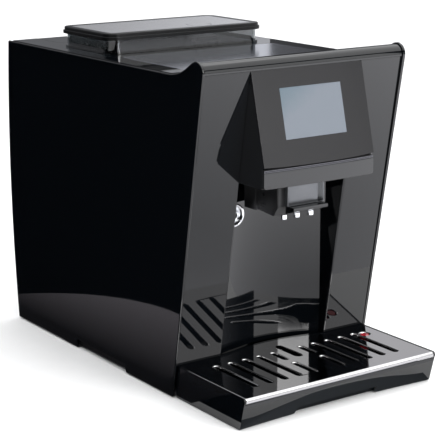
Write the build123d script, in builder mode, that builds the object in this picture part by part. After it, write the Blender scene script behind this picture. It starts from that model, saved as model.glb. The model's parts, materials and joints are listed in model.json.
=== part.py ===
from build123d import *
import os

os.makedirs("parts", exist_ok=True)

# Table-top bean-to-cup coffee machine. Millimetres; +X to the machine's left-to-right,
# -Y towards the user, +Z up. The origin is the middle of the footprint, on the table.

# Driving dimensions
WIDTH = 244.0               # over the side panels
DEPTH = 453.0               # drip tray lip to the bulge of the back
PANEL = 2.8                 # side panel thickness
BAY = 118.8                 # half the clear width between the side panels
WALL = 2.5                  # general moulded wall
TOP = 322.0                 # flat top of the side panels
LEAN = 0.1774               # the front leans: depth lost per unit of height
FOOT = -106.3               # fascia plane at table height
SKIRT = 1.0                 # gap under the side panels
NICHE = 65.0                # half width of the cup niche
NOSE = 66.6                 # half width of the brew-head housing
NOSE_FLOOR = 216.5          # underside of the housing
TRAY_TOP = 33.2             # top of the drip tray
TRAY_BACK = -110.6          # back face of the tray's outer shell
HOPPER_X = -2.7             # middle of the bean hopper
HOPPER_Y = 87.0
BOWL_WIDTH, BOWL_DEPTH, BOWL_CORNER = 191.0, 98.0, 13.0
SPOUT_BOTTOM = 180.0        # spout at its highest stop

HALF = WIDTH / 2
TRAY_FRONT = -DEPTH / 2


def fascia_y(z):
    """Y of the leaning fascia plane at height z."""
    return FOOT - LEAN * z


# ---------------------------------------------------------------- side panels
PANEL_FRONT = -108.5        # front corner of the side panel at the table
ROLL = 11.0                 # rounding of the upper front corner
ROLL_Y, ROLL_Z = -155.4, 327.5
NOTCH_FRONT, NOTCH_BACK, NOTCH_TOP = -17.8, 81.7, 9.5

with BuildSketch() as side_outline:
    with BuildLine():
        roll_start = (ROLL_Y - 0.985 * ROLL, ROLL_Z - 0.175 * ROLL)
        roll_end = (ROLL_Y + 0.24 * ROLL, ROLL_Z + 0.971 * ROLL)
        Line((PANEL_FRONT, SKIRT), roll_start)
        ThreePointArc(roll_start, (ROLL_Y - 0.6 * ROLL, ROLL_Z + 0.8 * ROLL), roll_end)
        Bezier(roll_end, (-144, 336.0), (-134, TOP + 0.6), (-108.5, TOP))
        Line((-108.5, TOP), (219.4, TOP))
        ThreePointArc((219.4, TOP), (DEPTH / 2, 190), (218.1, SKIRT))
        Polyline((218.1, SKIRT), (NOTCH_BACK, SKIRT), (NOTCH_BACK, NOTCH_TOP),
                 (NOTCH_FRONT, NOTCH_TOP), (NOTCH_FRONT - 2.3, SKIRT), (PANEL_FRONT, SKIRT))
    make_face()

with BuildPart() as left_side_panel:
    with BuildSketch(Plane.YZ.offset(-HALF)):
        add(side_outline.sketch)
    extrude(amount=PANEL)
left_side_panel.part.label = "left_side_panel"
export_step(left_side_panel.part, "parts/left_side_panel.step")

# The service door is a flush piece of the right panel that turns on two short pins.
DOOR_FRONT, DOOR_BACK = -52.0, 132.0
DOOR_LOW, DOOR_HIGH = 34.0, 288.0
DOOR_GAP = 0.6
HINGE_X = HALF - PANEL / 2
PIN_R = 0.8
PIN_OUT = 5.0

with BuildPart() as right_side_panel:
    with BuildSketch(Plane.YZ.offset(HALF - PANEL)):
        add(side_outline.sketch)
    extrude(amount=PANEL)
    with Locations((HINGE_X, (DOOR_FRONT + DOOR_BACK + PANEL / 2) / 2, (DOOR_LOW + DOOR_HIGH) / 2)):
        Box(2 * PANEL, DOOR_BACK - DOOR_FRONT + PANEL / 2 + 2 * DOOR_GAP,
            DOOR_HIGH - DOOR_LOW + 2 * DOOR_GAP, mode=Mode.SUBTRACT)
    with Locations((HINGE_X, DOOR_BACK, (DOOR_LOW + DOOR_HIGH) / 2)):
        Cylinder(PIN_R + 0.06, DOOR_HIGH - DOOR_LOW + 2 * PIN_OUT + 1, mode=Mode.SUBTRACT)
right_side_panel.part.label = "right_side_panel"
export_step(right_side_panel.part, "parts/right_side_panel.step")

with BuildPart() as service_door:
    with BuildSketch(Plane.XY.offset(DOOR_LOW)):
        with Locations((HINGE_X, (DOOR_FRONT + DOOR_BACK) / 2)):
            Rectangle(PANEL, DOOR_BACK - DOOR_FRONT)
        with Locations((HINGE_X, DOOR_BACK)):
            Circle(PANEL / 2)
    extrude(amount=DOOR_HIGH - DOOR_LOW)
    # finger scoop near the front edge
    with Locations((HALF + 8, DOOR_FRONT + 16, 165)):
        Sphere(10.5, mode=Mode.SUBTRACT)
    with Locations((HINGE_X, DOOR_BACK, (DOOR_LOW + DOOR_HIGH) / 2)):
        Cylinder(PIN_R, DOOR_HIGH - DOOR_LOW + 2 * PIN_OUT)
    # stiffening ribs on the inside
    with Locations(*[(HALF - PANEL - 1, 40, z) for z in (80, 165, 250)]):
        Box(2, 150, 2)
service_door.part.label = "service_door"
export_step(service_door.part, "parts/service_door.step")

# ---------------------------------------------------------------- base and back
SCREW_LOW = 16.0            # height of the rear panel's lower screws

with BuildPart() as base_pan:
    with BuildSketch(Plane.XY.offset(3)):
        with Locations((0, 58)):
            RectangleRounded(2 * BAY - 1, 308, 6)
    extrude(amount=19)
    with BuildSketch(Plane.XY.offset(5.5)):
        with Locations((0, 58)):
            RectangleRounded(2 * BAY - 6, 303, 4)
    extrude(amount=20, mode=Mode.SUBTRACT)
    # the tray's tongue enters through the open front
    with Locations((0, -96, 20)):
        Box(2 * BAY - 30, 12, 29, mode=Mode.SUBTRACT)
    with GridLocations(190, 250, 2, 2):
        with Locations((0, 58, 5.5)):
            Cylinder(4, 8, align=(Align.CENTER, Align.CENTER, Align.MIN))
    # clearance for the rear panel's lower screws
    with Locations(*[Location((x, 205, SCREW_LOW), (90, 0, 0)) for x in (-110, 110)]):
        Cylinder(1.9, 24, mode=Mode.SUBTRACT)
base_pan.part.label = "base_pan"
export_step(base_pan.part, "parts/base_pan.step")

with BuildPart() as feet:
    with BuildSketch():
        with GridLocations(196, 268, 2, 2):
            with Locations((0, 60)):
                Circle(9)
    extrude(amount=3)
    chamfer(feet.edges().group_by(Axis.Z)[0], 0.8)
feet.part.label = "feet"
export_step(feet.part, "parts/feet.step")

BACK_PLATE = 213.6          # front face of the rear panel
with BuildPart() as rear_panel:
    with BuildSketch(Plane.XZ.offset(-BACK_PLATE)):
        with Locations((0, 164)):
            RectangleRounded(2 * BAY, 316, 2)
    extrude(amount=-WALL)
    # rows of cooling slots, upper left and lower right
    with BuildSketch(Plane.XZ.offset(-BACK_PLATE)):
        with Locations((-55, 232)):
            with GridLocations(0, 9, 1, 9):
                SlotOverall(80, 3.4)
        with Locations((55, 232)):
            with GridLocations(0, 9, 1, 9):
                SlotOverall(80, 3.4)
        with Locations((-60, 38)):
            Rectangle(30.5, 24.5)
        with Locations((-100, 38)):
            Rectangle(19.5, 13.5)
    extrude(amount=-WALL, mode=Mode.SUBTRACT)
    with BuildSketch(Plane.XZ.offset(-BACK_PLATE)):
        with GridLocations(220, 296, 2, 2):
            with Locations((0, 164)):
                Circle(1.7)
    extrude(amount=-WALL, mode=Mode.SUBTRACT)
rear_panel.part.label = "rear_panel"
export_step(rear_panel.part, "parts/rear_panel.step")

with BuildPart() as panel_screws:
    with BuildSketch(Plane.XZ.offset(-BACK_PLATE - WALL)):
        with GridLocations(220, 296, 2, 2):
            with Locations((0, 164)):
                Circle(3.2)
    extrude(amount=-1.6)
    with BuildSketch(Plane.XZ.offset(-BACK_PLATE - WALL)):
        with GridLocations(220, 296, 2, 2):
            with Locations((0, 164)):
                Circle(1.5)
    extrude(amount=9)
    with BuildSketch(Plane.XZ.offset(-BACK_PLATE - WALL - 1.6)):
        with GridLocations(220, 296, 2, 2):
            with Locations((0, 164)):
                Rectangle(4, 0.9)
                Rectangle(0.9, 4)
    extrude(amount=0.9, mode=Mode.SUBTRACT)
panel_screws.part.label = "panel_screws"
export_step(panel_screws.part, "parts/panel_screws.step")

# ---------------------------------------------------------------- top cover
COVER_TOP = 322.6
COVER_BACK = 213.2
TANK_LID_FRONT = 160.5
TANK_LID_HALF = 89.0
INSET_HALF = 97.5
INSET_BACK = 20.5
INSET_FRONT = -104.0

with BuildPart() as top_cover:
    with BuildSketch(Plane.YZ.offset(-BAY)):
        with BuildLine():
            for r, drop in ((ROLL - 1.2, 0), (ROLL - 1.2 - WALL, WALL)):
                roll_start = (ROLL_Y - 0.985 * r, ROLL_Z - 0.175 * r)
                roll_end = (ROLL_Y + 0.24 * r, ROLL_Z + 0.971 * r)
                ThreePointArc(roll_start, (ROLL_Y - 0.6 * r, ROLL_Z + 0.8 * r), roll_end)
                Bezier(roll_end, (-144.5, 335.2 - drop), (-134.5, COVER_TOP + 0.4 - drop),
                       (-108.5, COVER_TOP - drop))
                Line((-108.5, COVER_TOP - drop), (COVER_BACK, COVER_TOP - drop))
            Line((COVER_BACK, COVER_TOP), (COVER_BACK, COVER_TOP - WALL))
            Line((ROLL_Y - 0.985 * (ROLL - 1.2), ROLL_Z - 0.175 * (ROLL - 1.2)), roll_start)
        make_face()
    extrude(amount=2 * BAY)
    # recess for the glossy inset plate
    with BuildSketch(Plane.XY.offset(COVER_TOP)):
        with Locations((0, (INSET_BACK + INSET_FRONT) / 2)):
            RectangleRounded(2 * INSET_HALF, INSET_BACK - INSET_FRONT, 7)
    extrude(amount=-1.4, mode=Mode.SUBTRACT)
    # openings for the hopper and for the tank
    with BuildSketch(Plane.XY.offset(COVER_TOP)):
        with Locations((HOPPER_X, HOPPER_Y)):
            RectangleRounded(BOWL_WIDTH + 1, BOWL_DEPTH + 1, BOWL_CORNER)
        with Locations((0, (TANK_LID_FRONT + COVER_BACK + 10) / 2)):
            RectangleRounded(2 * TANK_LID_HALF + 0.8, COVER_BACK + 10 - TANK_LID_FRONT + 0.8, 7)
    extrude(amount=-WALL, mode=Mode.SUBTRACT)
top_cover.part.label = "top_cover"
export_step(top_cover.part, "parts/top_cover.step")

with BuildPart() as inset_plate:
    with BuildSketch(Plane.XY.offset(COVER_TOP - 1.4)):
        with Locations((0, (INSET_BACK + INSET_FRONT) / 2)):
            RectangleRounded(2 * INSET_HALF - 0.8, INSET_BACK - INSET_FRONT - 0.8, 6.6)
    extrude(amount=1.4)
    chamfer(inset_plate.faces().sort_by(Axis.Z)[-1].edges(), 0.3)
inset_plate.part.label = "inset_plate"
export_step(inset_plate.part, "parts/inset_plate.step")

# ---------------------------------------------------------------- front fascia
APEX_Y, APEX_Z = -164.6, 325.4      # top edge of the display, on the fascia plane
GLASS_LEAN = 0.2401                 # tangent of the display's lean from upright
GLASS_T = 1.8
GLASS_Y = 1.9               # the display's thickness measured along Y, with its glue line


def glass_y(z):
    """Y of the display's outer face at height z."""
    return APEX_Y - GLASS_LEAN * (APEX_Z - z)


FASCIA_TOP = 325.5
FASCIA_LOW = TRAY_TOP + 0.6
FASCIA_DEPTH = 3.0          # thickness along Y
ROOF = 217.0                # ceiling of the niche
WALL_MID = -91.8            # niche wall at its deepest, middle
WALL_END = -105.5           # niche wall at the flanks
SPOUT_HALF = 30.0
SPOUT_WAY = SPOUT_HALF + 1.2        # half width of the openings that the spout slides through

with BuildPart() as front_fascia:
    with BuildSketch(Plane.YZ.offset(-BAY)):
        with BuildLine():
            Polyline((fascia_y(FASCIA_LOW), FASCIA_LOW), (fascia_y(FASCIA_TOP), FASCIA_TOP),
                     (fascia_y(FASCIA_TOP) + FASCIA_DEPTH, FASCIA_TOP),
                     (fascia_y(FASCIA_LOW) + FASCIA_DEPTH, FASCIA_LOW), close=True)
        make_face()
    extrude(amount=2 * BAY)
    with Locations((0, -125, FASCIA_LOW - 5)):
        Box(2 * NICHE, 100, ROOF - FASCIA_LOW + 5,
            align=(Align.CENTER, Align.CENTER, Align.MIN), mode=Mode.SUBTRACT)
    with Locations((0, -150, 272)):
        Box(116, 60, 86, mode=Mode.SUBTRACT)
    with Locations((0, -135, ROOF + 6)):
        Box(2 * SPOUT_WAY, 60, 20, mode=Mode.SUBTRACT)
    # bed for the upper edge of the display
    with BuildSketch(Plane.YZ.offset(-NOSE - 0.3)):
        with BuildLine():
            Polyline((-172, 316), (glass_y(316) + GLASS_T + 0.2, 316),
                     (glass_y(327.5) + GLASS_T + 0.2, 327.5), (-172, 327.5), close=True)
        make_face()
    extrude(amount=2 * NOSE + 0.6, mode=Mode.SUBTRACT)
    # flanks run back from the columns to the niche wall
    for side in (-1, 1):
        with BuildSketch(Plane.YZ.offset(side * (NICHE + 1.5) - 1.5)):
            with BuildLine():
                Polyline((fascia_y(FASCIA_LOW) + 1, FASCIA_LOW), (fascia_y(ROOF) + 1, ROOF + 2.5),
                         (-92, ROOF + 2.5), (-92, FASCIA_LOW), close=True)
            make_face()
        extrude(amount=3)
    with BuildSketch(Plane.XY.offset(ROOF)):
        with BuildLine():
            Polyline((-NICHE, fascia_y(ROOF) + 1), (NICHE, fascia_y(ROOF) + 1),
                     (NICHE, WALL_END - 0.2), (-NICHE, WALL_END - 0.2), close=True)
        make_face()
        with Locations((0, -125)):
            Rectangle(2 * SPOUT_WAY, 60, mode=Mode.SUBTRACT)
    extrude(amount=2.5)
    inner = front_fascia.edges().filter_by(
        lambda e: abs(abs(e.center().X) - NICHE) < 0.01
        and abs(e.length - (ROOF - FASCIA_LOW) * (1 + LEAN ** 2) ** 0.5) < 4
        and e.center().Y < fascia_y(125) + 1)
    fillet(inner, 2.2)
front_fascia.part.label = "front_fascia"
export_step(front_fascia.part, "parts/front_fascia.step")

PORT_X, PORT_Z = -46.5, 175.0
PORT_SEAT = 103.2           # distance of the port's flange in front of the origin
PORT_DEPTH = 6.2
with BuildPart() as niche_wall:
    with BuildSketch(Plane.XY.offset(FASCIA_LOW - 2)):
        with BuildLine():
            ThreePointArc((-NICHE + 0.2, WALL_END), (0, WALL_MID), (NICHE - 0.2, WALL_END))
            Line((NICHE - 0.2, WALL_END), (NICHE - 0.2, WALL_END + WALL))
            ThreePointArc((NICHE - 0.2, WALL_END + WALL), (0, WALL_MID + WALL),
                          (-NICHE + 0.2, WALL_END + WALL))
            Line((-NICHE + 0.2, WALL_END + WALL), (-NICHE + 0.2, WALL_END))
        make_face()
    extrude(amount=ROOF + 12 - FASCIA_LOW + 2)
    with Locations(Location((PORT_X, -100, PORT_Z), (90, 0, 0))):
        Cylinder(8.05, 40, mode=Mode.SUBTRACT)
niche_wall.part.label = "niche_wall"
export_step(niche_wall.part, "parts/niche_wall.step")

with BuildPart() as chrome_port:
    with BuildSketch(Plane.XZ.offset(PORT_SEAT)):
        with Locations((PORT_X, PORT_Z)):
            Circle(8)
    extrude(amount=-25)
    with BuildSketch(Plane.XZ.offset(PORT_SEAT)):
        with Locations((PORT_X, PORT_Z)):
            Circle(12)
    extrude(amount=PORT_DEPTH)
    chamfer(chrome_port.faces().sort_by(Axis.Y)[0].edges(), 1.6)
    with BuildSketch(Plane.XZ.offset(PORT_SEAT + 2 * PORT_DEPTH)):
        with Locations((PORT_X, PORT_Z)):
            Circle(5)
    extrude(amount=-40, mode=Mode.SUBTRACT)
chrome_port.part.label = "chrome_port"
export_step(chrome_port.part, "parts/chrome_port.step")

# ---------------------------------------------------------------- brew-head nose
GLASS_LOW = 235.0
HOUSING_TOP = 320.6         # where the housing runs out against the fascia
CROWN = 2.5                 # how far the bar bulges forward in the middle
BAR_Y = -185.4              # bar's front at its ends
BAR_CORNER = 2.6            # rounding of the bar's lower corners
LCD_MIDDLE = 284.2          # height of the LCD's centre
GLASS_LENGTH = 92.6
glass_plane = Plane(origin=(0, APEX_Y, APEX_Z), x_dir=(1, 0, 0), z_dir=(0, -1, GLASS_LEAN))
LCD_MID = -(APEX_Z - LCD_MIDDLE) * (1 + GLASS_LEAN ** 2) ** 0.5

with BuildPart() as nose_housing:
    with BuildSketch(Plane.YZ.offset(-NOSE)):
        with BuildLine():
            Polyline((glass_y(HOUSING_TOP) + GLASS_Y, HOUSING_TOP),
                     (glass_y(GLASS_LOW + 2) + GLASS_Y, GLASS_LOW + 2),
                     (BAR_Y + 3, GLASS_LOW + 0.2), (BAR_Y + 3, NOSE_FLOOR),
                     (fascia_y(NOSE_FLOOR) - 0.2, NOSE_FLOOR),
                     (fascia_y(HOUSING_TOP) - 0.2, HOUSING_TOP), close=True)
        make_face()
    extrude(amount=2 * NOSE)
    with BuildSketch(Plane.YZ.offset(-NOSE + WALL)):
        with BuildLine():
            Polyline((glass_y(315) + 4.4, 315),
                     (glass_y(GLASS_LOW + 2) + GLASS_Y + WALL, GLASS_LOW + 2),
                     (BAR_Y + 5.5, GLASS_LOW + 0.2), (BAR_Y + 5.5, NOSE_FLOOR + WALL),
                     (-140, NOSE_FLOOR + WALL), (-140, 315), close=True)
        make_face()
    extrude(amount=2 * (NOSE - WALL), mode=Mode.SUBTRACT)
    # window behind the display, and the spout's way through the floor
    with BuildSketch(glass_plane):
        with Locations((0, LCD_MID)):
            Rectangle(79, 54)
    extrude(amount=-9, mode=Mode.SUBTRACT)
    with Locations((0, -145, NOSE_FLOOR)):
        Box(2 * SPOUT_WAY, 42, 12, mode=Mode.SUBTRACT)
nose_housing.part.label = "nose_housing"
export_step(nose_housing.part, "parts/nose_housing.step")

with BuildPart() as display_panel:
    with BuildSketch(glass_plane):
        with BuildLine():
            Polyline((-NOSE, -GLASS_LENGTH + 2.0), (-NOSE, 0), (NOSE, 0), (NOSE, -GLASS_LENGTH + 2.0))
            ThreePointArc((NOSE, -GLASS_LENGTH + 2.0), (0, -GLASS_LENGTH - 0.05),
                          (-NOSE, -GLASS_LENGTH + 2.0))
        make_face()
        with Locations((0, LCD_MID)):
            Rectangle(73.6, 49.2, mode=Mode.SUBTRACT)
    extrude(amount=-GLASS_T)
display_panel.part.label = "display_panel"
export_step(display_panel.part, "parts/display_panel.step")

with BuildPart() as lcd_module:
    with BuildSketch(glass_plane.offset(-GLASS_T - 0.4)):
        with Locations((0, LCD_MID)):
            Rectangle(77, 52)
    extrude(amount=-3)
    with BuildSketch(glass_plane.offset(-0.15)):
        with Locations((0, LCD_MID)):
            Rectangle(73.4, 49)
    extrude(amount=-GLASS_T - 0.3)
lcd_module.part.label = "lcd_module"
export_step(lcd_module.part, "parts/lcd_module.step")

with BuildPart() as display_board:
    with BuildSketch(glass_plane.offset(-GLASS_T - 3.8)):
        with Locations((0, LCD_MID)):
            RectangleRounded(100, 58, 2)
    extrude(amount=-1.6)
    with BuildSketch(glass_plane.offset(-GLASS_T - 5.4)):
        with Locations((-20, LCD_MID)):
            Rectangle(14, 14)
        with Locations((20, LCD_MID + 10)):
            Rectangle(22, 5)
    extrude(amount=-1.8)
display_board.part.label = "display_board"
export_step(display_board.part, "parts/display_board.step")

BEAD_LOW = 232.4
BEAD_HIGH = 234.8
with BuildPart() as trim_bead:
    with BuildSketch(Plane.XY.offset(BEAD_LOW)):
        with BuildLine():
            ThreePointArc((-NOSE + 0.4, BAR_Y - 0.4), (0, BAR_Y - CROWN - 0.4), (NOSE - 0.4, BAR_Y - 0.4))
            Line((NOSE - 0.4, BAR_Y - 0.4), (NOSE - 0.4, BAR_Y + 2.9))
            Line((NOSE - 0.4, BAR_Y + 2.9), (-NOSE + 0.4, BAR_Y + 2.9))
            Line((-NOSE + 0.4, BAR_Y + 2.9), (-NOSE + 0.4, BAR_Y - 0.4))
        make_face()
    extrude(amount=BEAD_HIGH - BEAD_LOW)
trim_bead.part.label = "trim_bead"
export_step(trim_bead.part, "parts/trim_bead.step")

with BuildPart() as nose_bar:
    with BuildSketch(Plane.XY.offset(NOSE_FLOOR)):
        with BuildLine():
            ThreePointArc((-NOSE, BAR_Y), (0, BAR_Y - CROWN), (NOSE, BAR_Y))
            Line((NOSE, BAR_Y), (NOSE, BAR_Y + 2.9))
            Line((NOSE, BAR_Y + 2.9), (-NOSE, BAR_Y + 2.9))
            Line((-NOSE, BAR_Y + 2.9), (-NOSE, BAR_Y))
        make_face()
    extrude(amount=BEAD_LOW - NOSE_FLOOR)
    fillet(nose_bar.edges().filter_by(Axis.Y).group_by(Axis.Z)[0], BAR_CORNER)
nose_bar.part.label = "nose_bar"
export_step(nose_bar.part, "parts/nose_bar.step")

# ---------------------------------------------------------------- spout
SPOUT_FRONT = -158.5
SPOUT_BACK = -122.8
SPOUT_HIGH = 283.0
GUIDE_FRONT = -122.3
GUIDE_BACK = -102.8
GUIDE_LOW = 180.4
GUIDE_SLOT = 25.0           # slot for the spout's rear rail
NOZZLE_LOW = 174.0
NOZZLES = [(x, SPOUT_FRONT + 12) for x in (-14, 2, 19)]

with BuildPart() as spout_guide:
    with Locations((0, (GUIDE_FRONT + GUIDE_BACK) / 2, (GUIDE_LOW + SPOUT_HIGH) / 2)):
        Box(2 * SPOUT_HALF, GUIDE_BACK - GUIDE_FRONT, SPOUT_HIGH - GUIDE_LOW)
    with Locations((0, GUIDE_FRONT, (GUIDE_LOW + SPOUT_HIGH) / 2)):
        Box(GUIDE_SLOT, 14, SPOUT_HIGH - GUIDE_LOW + 2, mode=Mode.SUBTRACT)
spout_guide.part.label = "spout_guide"
export_step(spout_guide.part, "parts/spout_guide.step")

with BuildPart() as spout_body:
    with BuildSketch(Plane.YZ.offset(-SPOUT_HALF)):
        with BuildLine():
            Polyline((SPOUT_FRONT, SPOUT_HIGH), (SPOUT_FRONT, SPOUT_BOTTOM + 10),
                     (SPOUT_FRONT + 7, SPOUT_BOTTOM), (SPOUT_BACK, SPOUT_BOTTOM + 2.5),
                     (SPOUT_BACK, SPOUT_HIGH), close=True)
        make_face()
    extrude(amount=2 * SPOUT_HALF)
    fillet(spout_body.edges().filter_by(Axis.Z).group_by(Axis.Y)[0], 3)
    # rear rail that runs in the guide's slot
    with Locations((0, SPOUT_BACK + 2.8, (SPOUT_BOTTOM + SPOUT_HIGH) / 2 + 4)):
        Box(GUIDE_SLOT - 0.8, 6, SPOUT_HIGH - SPOUT_BOTTOM - 8)
    # funnel for the coffee, open at the top
    with BuildSketch(Plane.XY.offset(SPOUT_HIGH)):
        with Locations((0, (SPOUT_FRONT + SPOUT_BACK) / 2)):
            RectangleRounded(2 * SPOUT_HALF - 6, 29, 4)
    extrude(amount=-(SPOUT_HIGH - SPOUT_BOTTOM - 8), mode=Mode.SUBTRACT)
    with Locations(*[(x, y, SPOUT_BOTTOM) for x, y in NOZZLES]):
        Cylinder(2.6, 40, mode=Mode.SUBTRACT)
    # small round vent and moulded lines on the left flank
    with Locations(Location((-SPOUT_HALF, SPOUT_BACK - 13, 199.5), (0, 90, 0))):
        Cylinder(2.3, 3, mode=Mode.SUBTRACT)
    with Locations(*[(-SPOUT_HALF, SPOUT_BACK - 12, 190 - 3 * i) for i in range(3)]):
        Box(1.2, 9, 0.9, mode=Mode.SUBTRACT)
spout_body.part.label = "spout_body"
export_step(spout_body.part, "parts/spout_body.step")

PLATE_LOW = 190.5
with BuildPart() as spout_plate:
    with BuildSketch(Plane.XY.offset(PLATE_LOW)):
        with BuildLine():
            Polyline((-22.4, SPOUT_FRONT), (-22.4, SPOUT_FRONT - 5.6), (-20.8, SPOUT_FRONT - 5.6),
                     (-14.6, SPOUT_FRONT - 2.6), (14.6, SPOUT_FRONT - 2.6),
                     (20.8, SPOUT_FRONT - 5.6), (22.4, SPOUT_FRONT - 5.6), (22.4, SPOUT_FRONT),
                     close=True)
        make_face()
    extrude(amount=SPOUT_HIGH - PLATE_LOW)
spout_plate.part.label = "spout_plate"
export_step(spout_plate.part, "parts/spout_plate.step")

with BuildPart() as spout_grip:
    with BuildSketch(Plane.YZ.offset(-21)):
        with BuildLine():
            Polyline((SPOUT_FRONT, 190.4), (SPOUT_FRONT - 12.5, 190.4), (SPOUT_FRONT - 13.6, 188.8),
                     (SPOUT_FRONT - 12.8, 187.2), (SPOUT_FRONT - 0.4, 182.2), (SPOUT_FRONT, 184),
                     close=True)
        make_face()
    extrude(amount=42)
spout_grip.part.label = "spout_grip"
export_step(spout_grip.part, "parts/spout_grip.step")

with BuildPart() as nozzles:
    with BuildSketch(Plane.XY.offset(NOZZLE_LOW)):
        with Locations(*NOZZLES):
            Circle(2.55)
    extrude(amount=16)
    with BuildSketch(Plane.XY.offset(NOZZLE_LOW)):
        with Locations(*NOZZLES):
            Circle(3.4)
    extrude(amount=5.0)
    with Locations(*[(x, y, SPOUT_BOTTOM) for x, y in NOZZLES]):
        Cylinder(1.5, 40, mode=Mode.SUBTRACT)
nozzles.part.label = "nozzles"
export_step(nozzles.part, "parts/nozzles.step")

with BuildPart() as feed_tube:
    with BuildSketch(Plane.XY.offset(205)):
        with Locations((0, (SPOUT_FRONT + SPOUT_BACK) / 2)):
            Circle(5)
            Circle(3.4, mode=Mode.SUBTRACT)
    extrude(amount=95)
feed_tube.part.label = "feed_tube"
export_step(feed_tube.part, "parts/feed_tube.step")

# ---------------------------------------------------------------- drip tray
TRAY_HALF = 118.5
TRAY_LEAN = 8.0             # undercut of the tray's front, lip to foot
LIP_LOW = (TRAY_FRONT + 0.8, 27.5)      # the rounded lip, in Y and Z
LIP_MID = (TRAY_FRONT, 30.4)
LIP_HIGH = (TRAY_FRONT + 2.2, TRAY_TOP)
RIM_DEPTH = 5.6             # height of the rim behind the plate's arch
BASIN_HALF = 114.5
BASIN_FRONT = -206.0
BASIN_BACK = -115.6
FLOOR = SKIRT + WALL        # inside of the basin
SHELF_FRONT, SHELF = -215.0, 10.5       # shallow stretch of the basin over the finger notch
TONGUE_HALF, TONGUE_BACK, TONGUE_LOW, TONGUE_TOP = 59.0, -42.0, 6.6, 28.6
PLATE_T = 1.5
PLATE_HALF = 116.6
PLATE_BACK = -116.0
ARCH_HALF, ARCH_MID = 63.0, -103.0      # the plate's rear edge arches into the niche
SEAT_GAP = 0.4
SLOT_PITCH = 17.5
SLOT_W = 6.0
OUTER_SLOT, OUTER_SLOT_Y = 71.0, -168.0     # length of each slot, and its middle
REAR_SLOT, REAR_SLOT_Y = 26.0, -145.5
FRONT_SLOT, FRONT_SLOT_Y = 36.0, -186.5
MIDDLE_SLOT, MIDDLE_SLOT_Y = 39.0, -138.0
FLOAT_X, FLOAT_Y = 98.0, -140.5
FLOAT_RADIUS = 4.9
RIM_BEHIND, RIM_FRONT = 3.4, 4.0            # arched rim, behind and in front of the plate's edge
NOTCH_DEPTH = TRAY_LEAN + 9.5           # from the lip's front; the notch stops short of the basin


def plate_outline(gap, front):
    """The drip plate from above, grown by a gap at its sides and back."""
    half = PLATE_HALF + gap
    back = PLATE_BACK + gap
    with BuildSketch() as outline:
        with BuildLine():
            Polyline((-ARCH_HALF - gap, back), (-half, back), (-half, front), (half, front),
                     (half, back), (ARCH_HALF + gap, back))
            ThreePointArc((ARCH_HALF + gap, back), (0, ARCH_MID + gap), (-ARCH_HALF - gap, back))
        make_face()
    return outline.sketch


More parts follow.
